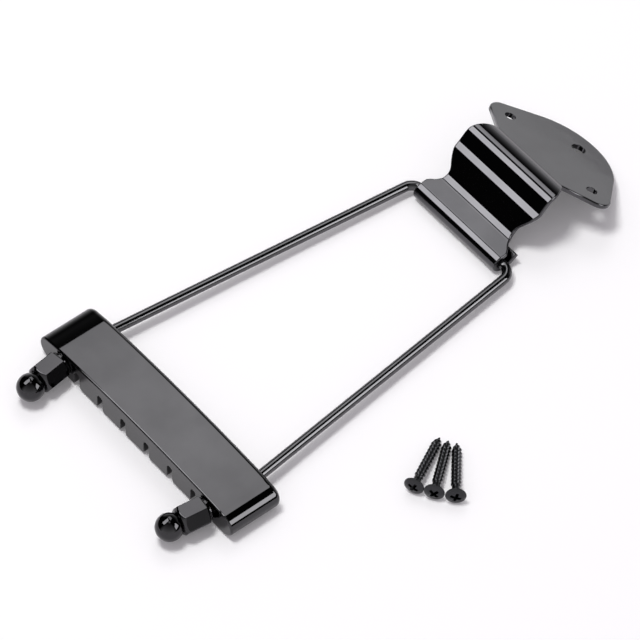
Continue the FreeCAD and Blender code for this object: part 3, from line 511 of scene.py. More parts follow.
@dataclass(frozen=True)
class PlatedFinish:
    """A plated metal: its colour, polish and unevenness."""

    name: str
    metal: tuple
    polish: float
    haze: float
    dust: float
    unevenness: float

    def material(self) -> bpy.types.Material:
        """Builds the material.

        Returns:
            A metallic material with the plating's film.
        """
        material, tree = new_material(self.name)
        film = tree.nodes.new("ShaderNodeGroup")
        film.node_tree = plating_group()
        for label, value in zip(("Polish", "Haze", "Dust"), (self.polish, self.haze, self.dust)):
            film.inputs[label].default_value = value
        film.inputs["Metal"].default_value = (*self.metal, 1)
        bumps = {"Strength": self.unevenness, "Distance": BUMP_DISTANCE, "Height": film.outputs["Height"]}
        shader = tree.nodes["Principled BSDF"].inputs
        feed(tree, shader["Metallic"], 1.0)
        feed(tree, shader["Normal"], add_node(tree, "Bump", "Normal", bumps))
        feed(tree, shader["Base Color"], film.outputs["Color"])
        feed(tree, shader["Roughness"], film.outputs["Roughness"])
        return material


BLACK_NICKEL = PlatedFinish("black_nickel", (0.08, 0.079, 0.084), 0.03, 0.03, 0.0, 0.06)
CAST_NICKEL = PlatedFinish("cast_black_nickel", (0.06, 0.059, 0.062), 0.02, 0.03, 0.01, 0.06)
DRAWN_NICKEL = PlatedFinish("drawn_black_nickel", (0.085, 0.084, 0.088), 0.08, 0.06, 0.03, 0.12)
TURNED_NICKEL = PlatedFinish("turned_black_nickel", (0.05, 0.049, 0.052), 0.03, 0.03, 0.01, 0.06)
BLACK_ZINC = PlatedFinish("black_zinc", (0.042, 0.042, 0.045), 0.13, 0.1, 0.03, 0.3)


def dress(piece: Object, material: bpy.types.Material, body: Body, node: str) -> None:
    """Gives a finished piece its material and ties it to the CAD piece it stands for.

    Args:
        piece: The mesh object.
        material: Its finish.
        body: The body it moves with.
        node: The CAD node it replaces.
    """
    piece.data.materials.clear()
    piece.data.materials.append(material)
    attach(piece, body.value)
    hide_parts(node)


# Where the pieces stand, and how each is built


@dataclass(frozen=True)
class Seats:
    """Places of the sub-assemblies in the row frame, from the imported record."""

    hinge: Vector
    frame_lift: float
    bracket_lean: float

    @classmethod
    def from_frame(cls, flange_fall: float) -> "Seats":
        """Reads the hinge, the frame's lift and the bracket's lean.

        Args:
            flange_fall: Slope of the flange in the bracket's own axes, in degrees.

        Returns:
            The seats.
        """
        joints = {joint["name"]: joint for joint in frame["joints"]}
        mounts = {mount["name"]: mount for mount in frame["record"]["mounts"]}
        hinge = Vector(joints["frame_swing"]["pos_m"])
        nut = Vector(joints["left_nut_turn"]["pos_m"]) - hinge
        up = mounts["end_pin_hole"]["axis"]
        lean = math.radians(flange_fall) - math.atan2(up[1], up[2])
        return cls(hinge, math.atan2(nut.z, -nut.y), lean)

    def bracket(self) -> Matrix:
        """The bracket's own axes, with X on the hinge."""
        return Matrix.Translation(self.hinge) @ Matrix.Rotation(self.bracket_lean, 4, "X")

    def frame(self) -> Matrix:
        """The wire frame's own axes, with X on the hinge and the crossbar towards -Y."""
        return Matrix.Translation(self.hinge) @ Matrix.Rotation(-self.frame_lift, 4, "X")


@dataclass
class Piece(ABC):
    """A piece of the tailpiece; each kind has its own shape, material slot, body and CAD node."""

    slot: ClassVar[Slot]
    body: ClassVar[Body]
    node: ClassVar[str]
    seats: Seats

    @abstractmethod
    def shape(self) -> Object:
        """Makes the bare piece where it stands."""

    def build(self, finish: PlatedFinish) -> Object:
        """Shapes the piece, plates it and ties it to the CAD piece.

        Args:
            finish: Its plating.

        Returns:
            The finished piece.
        """
        piece = self.shape()
        dress(piece, finish.material(), self.body, self.node)
        return piece


# The hinge bracket


@dataclass
class HingeBracket(Piece):
    """The strip of sheet rolled round the wire, bent in waves and ending in a flange.

    The waist is half the strip's width, and sideways is how far its middle lies to the left, both by the distance
    from the top of the roll.
    """

    slot = Slot.SHEET
    body = Body.BRACKET
    node = "hinge_bracket"
    sheet: float = 1.5
    width: float = 36.0
    edge_round: float = 0.45
    hole_round: float = 0.1
    roll_radius: float = 2.3
    roll_tail_rise: float = 35.0
    roll_tail_length: float = 4.742
    legs: tuple = (4.9, 5.63, 1.05, 3.67, 0.25, 0.3, 0.0)
    bends: tuple = ((4.55, 59.9), (2.25, 28.4), (2.5, 49.0), (2.5, 9.8), (6.1, -37.4), (5.15, -FLANGE_FALL))
    waist: tuple = (
        (-13.4, 17.0), (-10.0, 17.2), (-8.0, 18.1), (1.6, 18.1), (3.0, 17.1), (4.0, 16.1), (5.2, 15.3),
        (7.0, 14.6), (8.6, 14.45), (10.2, 14.8), (12.0, 15.8), (14.0, 16.9), (16.0, 17.7), (18.0, 18.05),
        (22.0, 18.1),
    )
    sideways: tuple = (
        (-13.4, -1.0), (-10.0, -0.8), (-8.0, 0.3), (0.0, 0.6), (4.0, 0.95), (8.0, 1.5), (12.0, 1.35),
        (16.0, 0.8), (21.0, 0.6), (28.0, 0.0),
    )
    root_width: float = 28.6
    root_corner_length: float = 8.0
    flange_length: float = 29.1
    apex_radius: float = 21.1
    wing_span: float = 50.1
    wing_radius: float = 4.3
    wing_reach: float = 9.2
    pin_hole: tuple = (0.0, 21.9, 2.2)
    screw_hole_radius: float = 1.7
    screw_hole_spacing: float = 36.0
    screw_hole_reach: float = 9.4
    rim_steps: int = 5
    tail_steps: int = 30
    strip_steps: int = 160
    wing_steps: int = 40
    apex_steps: int = 50
    hole_sides: int = 48
    mitre_limit: float = 0.5
    forward: BentLine = field(init=False)
    backward: BentLine = field(init=False)
    root: float = field(init=False)

    def __post_init__(self) -> None:
        """Lays out the middle line of the sheet both ways from the top of the roll."""
        top = (0.0, self.roll_radius)
        self.forward = BentLine(top, 0.0, list(self.legs), list(self.bends))
        roll = (self.roll_radius, 360.0 + self.roll_tail_rise)
        self.backward = BentLine(top, 180.0, [0.0, self.roll_tail_length], [roll])
        self.root = self.forward.length

    def half_width(self, travelled: np.ndarray) -> np.ndarray:
        """Half the strip's width at distances along it.

        Args:
            travelled: Distances from the top of the roll towards the flange.

        Returns:
            Half widths in millimetres.
        """
        reach, _, _ = self.forward.at(np.maximum(travelled, 0))
        half = smooth_through(self.waist, travelled)
        root_reach = float(self.forward.at(np.array([self.root]))[0][0])
        narrowing = (self.width - self.root_width) / 2
        radius = (narrowing**2 + self.root_corner_length**2) / (2 * narrowing)
        past = np.maximum(reach - (root_reach - self.root_corner_length), 0)
        corner = self.width / 2 - radius + np.sqrt(np.maximum(radius**2 - past**2, 0))
        return np.minimum(half, corner)

    def flange_side(self) -> np.ndarray:
        """The right half of the flange's outline from its root to its apex.

        Returns:
            (side, reach from the root) rows.
        """
        wing = np.array((self.wing_span / 2 - self.wing_radius, self.wing_reach))
        apex = np.array((0.0, self.flange_length - self.apex_radius))
        root = np.array((self.root_width / 2, 0.0))
        across = wing - root
        distance = np.linalg.norm(across)
        heading = math.atan2(across[1], across[0]) - math.asin(self.wing_radius / distance)
        first = heading - QUARTER_TURN
        across = wing - apex
        opening = math.acos((self.apex_radius - self.wing_radius) / np.linalg.norm(across))
        outward = math.atan2(across[1], across[0]) + opening
        while first > outward:
            first -= FULL_TURN
        wing_arc = wing + self.wing_radius * on_circle(np.linspace(first, outward, self.wing_steps))
        apex_arc = apex + self.apex_radius * on_circle(np.linspace(outward, QUARTER_TURN, self.apex_steps))
        return np.vstack((wing_arc, apex_arc))

    def outline(self) -> np.ndarray:
        """The flattened sheet's outline, anticlockwise.

        Returns:
            (side, distance from the top of the roll) rows.
        """
        tail = np.linspace(-self.backward.length, 0, self.tail_steps)
        strip = np.unique(np.round(np.r_[tail, np.linspace(0, self.root, self.strip_steps)], 6))
        half = self.half_width(strip)
        aside = smooth_through(self.sideways, strip)
        flange = self.flange_side()[:-1] + (0, self.root)
        right = np.vstack((np.c_[half - aside, strip], flange))
        left = np.vstack((np.c_[-half - aside, strip], flange * (-1, 1)))[::-1]
        apex = np.array([[0.0, self.root + self.flange_length]])
        return np.vstack((right, apex, left))

    def holes(self) -> list:
        """Outlines of the three holes in the flange, clockwise.

        Returns:
            (side, distance) rows of each.
        """
        side, reach = self.screw_hole_spacing / 2, self.screw_hole_reach
        circles = (self.pin_hole, (side, reach, self.screw_hole_radius), (-side, reach, self.screw_hole_radius))
        circle = on_circle(-around(self.hole_sides))
        return [(x, self.root + y) + radius * circle for x, y, radius in circles]

    def rim(self, edge_round: float) -> list:
        """Rounded edge of the sheet.

        Args:
            edge_round: Radius of the rounding.

        Returns:
            (inset, height, outward share, upward share) of each ring.
        """
        rings = []
        flat = self.sheet / 2 - edge_round
        for sign in (1, -1):
            turns = np.linspace(QUARTER_TURN, 0, self.rim_steps)
            for turn in turns if sign > 0 else turns[::-1]:
                inset = edge_round * (1 - math.cos(turn))
                height = sign * (flat + edge_round * math.sin(turn))
                rings.append((inset, height, math.cos(turn), sign * math.sin(turn)))
        return rings

    def edge(self, loop: np.ndarray, edge_round: float) -> tuple:
        """The rounded edge along one outline of the blank.

        Args:
            loop: The outline's points.
            edge_round: Radius of the rounding.

        Returns:
            Points and surface directions, ring by ring from the upper face to the lower.
        """
        before = loop - np.roll(loop, 1, axis=0)
        after = np.roll(loop, -1, axis=0) - loop
        sides = [way[:, ::-1] * (1, -1) / np.linalg.norm(way, axis=1)[:, None] for way in (before, after)]
        outward = sides[0] + sides[1]
        outward /= np.linalg.norm(outward, axis=1)[:, None]
        mitre = 1 / np.maximum((outward * sides[1]).sum(1), self.mitre_limit)
        points, directions = [], []
        for inset, height, out, up in self.rim(edge_round):
            flat = loop - outward * (inset * mitre)[:, None]
            points.append(np.c_[flat, np.full(len(loop), height)])
            directions.append(np.c_[outward * out, np.full(len(loop), up)])
        return np.vstack(points), np.vstack(directions)

    def flat_sheet(self) -> tuple:
        """The flat blank as a closed mesh, with its surface directions.

        Returns:
            Points, directions and faces.
        """
        points, directions, faces, caps = [], [], [], []
        start = 0
        holes = [(hole, self.hole_round) for hole in self.holes()]
        for loop, edge_round in [(self.outline(), self.edge_round), *holes]:
            edge_points, edge_directions = self.edge(loop, edge_round)
            points.append(edge_points)
            directions.append(edge_directions)
            count, last = len(loop), start + len(edge_points) - len(loop)
            for low in range(start, last, count):
                high = low + count
                for index in range(count):
                    beside = (index + 1) % count
                    faces.append((low + index, high + index, high + beside, low + beside))
            caps.append((start, last, count))
            start = last + count
        points = np.vstack(points)
        directions = np.vstack(directions)
        top = [[Vector((*points[first + index][:2], 0)) for index in range(count)] for first, _, count in caps]
        numbers = [(first + index, last + index) for first, last, count in caps for index in range(count)]
        for triangle in tessellate_polygon(top):
            upper = [numbers[index][0] for index in triangle]
            lower = [numbers[index][1] for index in triangle]
            a, b, c = (points[index] for index in upper)
            if np.cross(b[:2] - a[:2], c[:2] - a[:2]) < 0:
                upper.reverse()
            else:
                lower.reverse()
            faces.extend((tuple(upper), tuple(lower)))
        return points, directions, faces

    def bend(self, flat: np.ndarray, directions: np.ndarray) -> tuple:
        """Bends points of the blank along the sheet's middle line.

        Args:
            flat: (side, distance, height) rows.
            directions: Surface directions in the blank.

        Returns:
            Points and directions in the bracket's own axes.
        """
        travelled = flat[:, 1]
        ahead = self.forward.at(np.maximum(travelled, 0))
        behind = self.backward.at(np.maximum(-travelled, 0))
        rolled = travelled < 0
        y = np.where(rolled, behind[0], ahead[0])
        z = np.where(rolled, behind[1], ahead[1])
        heading = np.where(rolled, behind[2] - math.pi, ahead[2])
        cosine, sine = np.cos(heading), np.sin(heading)
        points = np.c_[flat[:, 0], y - sine * flat[:, 2], z + cosine * flat[:, 2]]
        along, up = directions[:, 1], directions[:, 2]
        turned = np.c_[directions[:, 0], along * cosine - up * sine, along * sine + up * cosine]
        return points, turned / np.linalg.norm(turned, axis=1)[:, None]

    def shape(self) -> Object:
        """Cuts the blank at every bend station and bends it.

        Returns:
            The bare bracket.
        """
        points, directions, faces = self.flat_sheet()
        shape = bmesh.new()
        layer = shape.verts.layers.float_vector.new("direction")
        verts = []
        for point, direction in zip(points, directions):
            vert = shape.verts.new(point)
            vert[layer] = direction
            verts.append(vert)
        for face in faces:
            shape.faces.new([verts[index] for index in face])
        cuts = self.forward.stations()[:-1] + [-station for station in self.backward.stations()[:-1]]
        for station in sorted(set(round(cut, 6) for cut in cuts)):
            bmesh.ops.bisect_plane(
                shape,
                geom=shape.verts[:] + shape.edges[:] + shape.faces[:],
                dist=1e-5,
                plane_co=(0, station, 0),
                plane_no=(0, 1, 0),
            )
        shape.verts.index_update()
        flat = np.array([vert.co for vert in shape.verts])
        directions = np.array([vert[layer] for vert in shape.verts])
        faces = [tuple(vert.index for vert in face.verts) for face in shape.faces]
        shape.free()
        points, directions = self.bend(flat, directions)
        return add_mesh("bracket_sheet_metal", points, faces, self.seats.bracket(), directions)


# The wire frame


@dataclass
class WireFrame(Piece):
    """The bent wire with its two threaded ends."""

    slot = Slot.WIRE
    body = Body.FRAME
    node = "wire_frame"
    radius: float = 1.5
    barrel_straight: float = 18.14
    leg_straight: float = 106.414
    end_straight: float = 17.868
    corner_bend_radius: float = 3.9
    bar_bend_radius: float = 12.0
    thread_length: float = 13.5
    thread_pitch: float = 0.6
    thread_depth: float = 0.26
    end_chamfer: float = 0.4
    sides: int = 40
    steps_per_thread: int = 8
    leg_steps: int = 30
    leg_start: float = 8.0
    bend_step: float = 2.5
    crease: float = 40.0

    def line(self) -> BentLine:
        """The right half of the wire's middle line, from the hinge's middle to its end.

        Returns:
            The line.
        """
        legs = [self.barrel_straight, self.leg_straight, self.end_straight]
        bends = [(self.corner_bend_radius, LEG_FLARE - 90), (self.bar_bend_radius, -90 - END_TOE_IN)]
        return BentLine((0.0, 0.0), 0.0, legs, bends)

    def shape(self) -> Object:
        """Sweeps the wire and cuts its threads.

        Returns:
            The bare wire.
        """
        line = self.line()
        thread_start = line.length - self.thread_length
        bends = [station for station in line.stations(math.radians(self.bend_step)) if station < thread_start]
        leg = np.linspace(self.barrel_straight + self.leg_start, thread_start, self.leg_steps)[:-1]
        chamfer = line.length - self.end_chamfer
        threads = np.arange(thread_start, chamfer, self.thread_pitch / self.steps_per_thread)
        half = np.unique(np.round(np.r_[bends, leg, threads, chamfer], 5))
        half = np.r_[half, line.length]
        travelled = np.r_[-half[:0:-1], half]
        x, y, heading = line.at(np.abs(travelled))
        sign = np.where(travelled < 0, -1.0, 1.0)
        tangent_x, tangent_y = np.cos(heading), sign * np.sin(heading)
        turn = around(self.sides)
        along = np.abs(travelled)[:, None] - thread_start
        phase = (along / self.thread_pitch - sign[:, None] * turn[None, :] / FULL_TURN) % 1.0
        groove = self.thread_depth * np.abs(2 * phase - 1) * np.clip(along / (2 * self.thread_pitch), 0, 1)
        radii = self.radius - groove
        tip = np.abs(travelled) > line.length - self.end_chamfer / 2
        radii[tip] = self.radius - self.end_chamfer
        side, up = radii * np.cos(turn), radii * np.sin(turn)
        across = (sign * x)[:, None] - tangent_y[:, None] * side
        ahead = y[:, None] + tangent_x[:, None] * side
        points = np.stack((across, ahead, up), axis=2).reshape(-1, 3)
        faces = [face[::-1] for face in ring_faces(len(travelled), self.sides)]
        piece = add_mesh("frame_wire", points, faces, self.seats.frame())
        piece.data.set_sharp_from_angle(angle=math.radians(self.crease))
        return piece


# The crossbar


@dataclass
class Crossbar(Piece):
    """The casting that anchors the strings: crowned, round-ended, open underneath."""

    slot = Slot.CASTING
    body = Body.FRAME
    node = "crossbar"
    half_span: float = 39.1
    end_radius: float = 4.146
    end_drop: float = 0.6
    crown_height: float = 5.1
    depth: float = 18.1
    front_wall: float = 1.8
    back_wall: float = 2.8
    roof: float = 1.8
    end_block: float = 5.8
    back_round: float = 1.8
    front_round: float = 0.6
    end_ease_start: float = 33.0
    end_ease_drop: float = 0.28
    string_count: int = 6
    string_pitch: float = 10.5
    slot_width: float = 2.3
    slot_top: float = 1.2
    slot_mouth_round: float = 1.2
    cavity_corner: float = 1.2
    wire_spread: float = 34.14
    hole_radius: float = 1.85
    wall_overrun: float = 0.5
    edge_round: float = 0.14
    crease: float = 40.0
    crown_points: int = 120
    end_points: int = 44
    foot_points: int = 40
    front_steps: int = 6
    back_steps: int = 16
    roof_points: int = 60
    slot_steps: int = 17
    mouth_steps: int = 9
    hole_sides: int = 32

    def __post_init__(self) -> None:
        """Works out the crown, which is tangent to both rounded ends."""
        rise = self.crown_height + self.end_drop
        self.crown_radius = (self.half_span**2 + rise**2 - self.end_radius**2) / (2 * (rise - self.end_radius))
        self.crown_centre = self.crown_height - self.crown_radius
        self.foot = -self.end_drop - self.end_radius

    def section(self) -> tuple:
        """The casting's outline seen from the strings, anticlockwise.

        Returns:
            Outline points and their outward directions, as (x, z) rows.
        """
        lean = math.atan2(self.half_span, -self.end_drop - self.crown_centre)
        crown = QUARTER_TURN + np.linspace(-lean, lean, self.crown_points)
        left = np.linspace(QUARTER_TURN + lean, 3 * QUARTER_TURN, self.end_points)[1:]
        right = np.linspace(-QUARTER_TURN, QUARTER_TURN - lean, self.end_points)[:-1]
        foot = np.linspace(-self.half_span, self.half_span, self.foot_points)[1:-1]
        centre = np.array((0.0, self.crown_centre))
        points, directions = [], []
        for turns, middle, radius in (
            (crown, centre, self.crown_radius),
            (left, np.array((-self.half_span, -self.end_drop)), self.end_radius),
            (right, np.array((self.half_span, -self.end_drop)), self.end_radius),
        ):
            if turns is right:
                points.append(np.c_[foot, np.full(len(foot), self.foot)])
                directions.append(np.tile((0.0, -1.0), (len(foot), 1)))
            outward = on_circle(turns)
            points.append(middle + radius * outward)
            directions.append(outward)
        points = np.vstack(points)
        ease = self.half_span - self.end_ease_start
        past = np.clip((np.abs(points[:, 0]) - self.end_ease_start) / ease, 0, 1)
        upper = np.clip((points[:, 1] + self.end_drop) / self.end_radius, 0, 1)
        points[:, 1] -= self.end_ease_drop * past**2 * upper
        return points, np.vstack(directions)

    def blank(self) -> Object:
        """The solid block with its front and back rims rounded.

        Returns:
            The block, with its front face at the origin.
        """
        outline, outward = self.section()
        rings = []
        for turn in np.linspace(0, QUARTER_TURN, self.front_steps):
            inset = self.front_round * (1 - math.sin(turn))
            rings.append((inset, self.front_round * (1 - math.cos(turn))))
        for turn in np.linspace(QUARTER_TURN, 0, self.back_steps):
            inset = self.back_round * (1 - math.sin(turn))
            rings.append((inset, self.depth - self.back_round * (1 - math.cos(turn))))
        return self.loft("crossbar_casting", [(outline - outward * inset, along) for inset, along in rings])

    def loft(self, name: str, views: list) -> Object:
        """A solid whose front view changes towards the back.

        Args:
            name: Its name.
            views: (outline, distance behind the front face) of each, outlines in rows of (x, z), anticlockwise.

        Returns:
            The solid.
        """
        points = [np.c_[outline[:, 0], np.full(len(outline), along), outline[:, 1]] for outline, along in views]
        faces = [face[::-1] for face in ring_faces(len(views), len(views[0][0]))]
        return add_mesh(name, np.vstack(points), faces)

    def prism(self, name: str, outline: np.ndarray, front: float, back: float) -> Object:
        """A cutter with one front view, from one distance behind the front face to another."""
        return self.loft(name, [(outline, front), (outline, back)])

    def cavity(self) -> Object:
        """Cutter for the hollow, whose roof follows the crown.

        Returns:
            The cutter.
        """
        half = self.half_span + self.end_radius - self.end_block
        radius = self.crown_radius - self.roof
        across = np.linspace(half, -half, self.roof_points)
        roof = self.crown_centre + np.sqrt(radius**2 - across**2)
        below = self.foot - OVERRUN
        inner = slice(3, -3)
        corners = [(-half, below, 0), (half, below, 0), (half, roof[0], self.cavity_corner)]
        corners += [(x, z, 0) for x, z in zip(across[inner], roof[inner])]
        corners += [(-half, roof[-1], self.cavity_corner), (-half, below, 0)]
        outline = rounded_corners(corners)[:-1]
        return self.prism("cavity", outline, self.front_wall, self.depth - self.back_wall)

    def slots(self) -> list:
        """Cutters for the string slots, each open at the foot with a flared mouth.

        Returns:
            The cutters.
        """
        half, mouth = self.slot_width / 2, self.slot_mouth_round
        top = (0, self.slot_top - half) + half * on_circle(np.linspace(0, math.pi, self.slot_steps))
        turn = np.linspace(0, QUARTER_TURN, self.mouth_steps)
        left = (-half - mouth, self.foot + mouth) + mouth * on_circle(turn) * (1, -1)
        below = np.array([(-half - mouth, self.foot - OVERRUN), (half + mouth, self.foot - OVERRUN)])
        outline = np.vstack((top, left, below, (left * (-1, 1))[::-1]))
        middle = (self.string_count - 1) / 2
        shifts = [(index - middle) * self.string_pitch for index in range(self.string_count)]
        back = self.front_wall + self.wall_overrun
        return [self.prism("slot", outline + (shift, 0), -OVERRUN, back) for shift in shifts]

    def wire_holes(self) -> list:
        """Cutters for the four round holes that the wire passes through.

        Returns:
            The cutters.
        """
        circle = self.hole_radius * on_circle(around(self.hole_sides))
        cutters = []
        walls = (
            (self.front_wall, END_TOE_IN, -OVERRUN, self.front_wall + self.wall_overrun),
            (self.back_wall, LEG_FLARE, self.depth - self.back_wall - self.wall_overrun, self.depth + OVERRUN),
        )
        for sign in (-1, 1):
            for wall, slope, start, end in walls:
                side = self.wire_spread - (self.depth / 2 - wall / 2) * math.tan(math.radians(slope))
                cutters.append(self.prism("hole", circle + (sign * side, 0), start, end))
        return cutters

    def shape(self) -> Object:
        """Cuts the casting from its blank.

        Returns:
            The bare crossbar.
        """
        piece = self.blank()
        cut_away(piece, [self.cavity(), *self.slots(), *self.wire_holes()])
        piece.data.transform(self.seats.frame() @ Matrix.Translation((0, -FRAME_REACH * MM, 0)))
        soften_edges(piece, self.edge_round, self.crease)
        return piece


# The ball nuts


@dataclass
class BallNut(Piece):
    """A blind nut: collar, chamfered hexagon, neck and ball.

    The side is -1 for the left one and 1 for the right one.
    """

    slot = Slot.NUT
    side: int
    seat_side: float = 32.8996
    seat_lift: float = 0.50055
    flats: float = 8.2
    corner_excess: float = 0.1
    corner_softness: float = 0.3
    collar_radius: float = 3.7
    collar_length: float = 0.8
    collar_round: float = 0.15
    milled_margin: float = 0.2
    hex_length: float = 8.2
    hex_chamfer_start: float = 0.3
    hex_chamfer: float = 0.45
    end_radius: float = 3.7
    end_inset: float = 0.05
    end_round: float = 0.12
    neck_radius: float = 3.0
    ball_radius: float = 4.15
    ball_reach: float = 11.95
    bore_radius: float = 1.55
    bore_depth: float = 11.0
    bore_mouth: float = 0.25
    drill_point: float = 0.6
    drill_tip: float = 0.05
    pole: float = 0.02
    ring_gap: float = 0.01
    points_per_flat: int = 26
    hex_steps: int = 8
    slope_steps: int = 14
    slope_share: float = 0.92
    ball_steps: int = 34
    crease: float = 50.0
    touch: float = 1e-6

    @property
    def body(self) -> Body:
        """The body that the nut moves with."""
        return Body.LEFT_NUT if self.side < 0 else Body.RIGHT_NUT

    @property
    def node(self) -> str:
        """The CAD node that the nut replaces."""
        return "left_ball_nut" if self.side < 0 else "right_ball_nut"

    def angles(self) -> np.ndarray:
        """Angles round the nut, close together at the hexagon's corners."""
        share = (1 - np.cos(np.linspace(0, math.pi, self.points_per_flat + 1)[:-1])) / 2
        return np.concatenate([FULL_TURN / HEX_SIDES * (flat + share) for flat in range(HEX_SIDES)])

    def profile(self, start: float, end: float) -> list:
        """The nut's turned shape before its flats are milled.

        Args:
            start: Where the hexagon begins along the nut.
            end: Where it ends.

        Returns:
            (along, out) from the bottom of the bore, over the rim and along the outside to the ball's pole.
        """
        corner = self.flats / 2 / math.cos(math.pi / HEX_SIDES)
        rim = corner + self.corner_excess
        slope = end - (corner - self.end_radius)
        inside = [
            (self.bore_depth, self.drill_tip, 0),
            (self.bore_depth - self.drill_point, self.bore_radius, 0),
            (self.bore_mouth, self.bore_radius, 0),
            (0.0, self.bore_radius + self.bore_mouth, 0),
            (0.0, self.collar_radius, self.collar_round),
            (start, self.collar_radius, 0),
            (start, self.collar_radius + self.hex_chamfer_start, self.end_inset),
            (start + self.hex_chamfer, rim, 0),
        ]
        # The end's chamfer takes many points, so that its arcs on the flats are smooth
        down = self.end_radius - self.end_inset
        shares = np.linspace(0, self.slope_share, self.slope_steps)
        outside = [(slope + (end - slope) * share, rim + (down - rim) * share, 0) for share in shares]
        outside += [(end, down, self.end_round), (end, self.neck_radius, 0)]
        first = math.acos(-math.sqrt(1 - (self.neck_radius / self.ball_radius) ** 2))
        ball = self.ball_radius * on_circle(np.linspace(first, self.pole, self.ball_steps))
        middle = np.linspace(start + self.hex_chamfer + self.ring_gap, slope, self.hex_steps)
        return [
            *rounded_corners(inside),
            *((along, rim) for along in middle),
            *rounded_corners(outside),
            *((self.ball_reach, 0) + ball),
        ]

    def shape(self) -> Object:
        """Turns the nut and mills its flats.

        Returns:
            The bare nut.
        """
        angles = self.angles()
        start = self.collar_length
        end = start + self.hex_length
        step = FULL_TURN / HEX_SIDES
        flat = self.flats / 2 / np.cos(angles % step - step / 2)
        shaped = []
        for along, out in self.profile(start, end):
            radii = np.full(len(angles), out)
            if start - self.touch <= along <= end + self.touch and out > self.collar_radius - self.milled_margin:
                radii = self.soft_least(radii, flat)
            shaped.append((along, radii))
        points, faces = turned_mesh(shaped, angles)
        piece = add_mesh(self.node + "_turned", points, faces, self.seat())
        piece.data.set_sharp_from_angle(angle=math.radians(self.crease))
        return piece

    def soft_least(self, one: np.ndarray, two: np.ndarray) -> np.ndarray:
        """The lesser of two radii, blended where they are close.

        Args:
            one: Radii of the turned shape.
            two: Radii of the flats.

        Returns:
            The blended radii.
        """
        soft = self.corner_softness
        overlap = np.clip(0.5 + 0.5 * (two - one) / soft, 0, 1)
        return two * (1 - overlap) + one * overlap - soft * overlap * (1 - overlap)

    def seat(self) -> Matrix:
        """The nut's own axes, with +Z from the crossbar to the ball.

        Returns:
            Where they stand in the row frame.
        """
        reach = Vector((self.side * self.seat_side, -FRAME_REACH - self.seat_lift, 0)) * MM
        toe = Matrix.Rotation(-self.side * math.radians(END_TOE_IN), 4, "Z")
        along = Matrix.Rotation(QUARTER_TURN, 4, "X")
        return self.seats.frame() @ Matrix.Translation(reach) @ toe @ along


# The loose screws


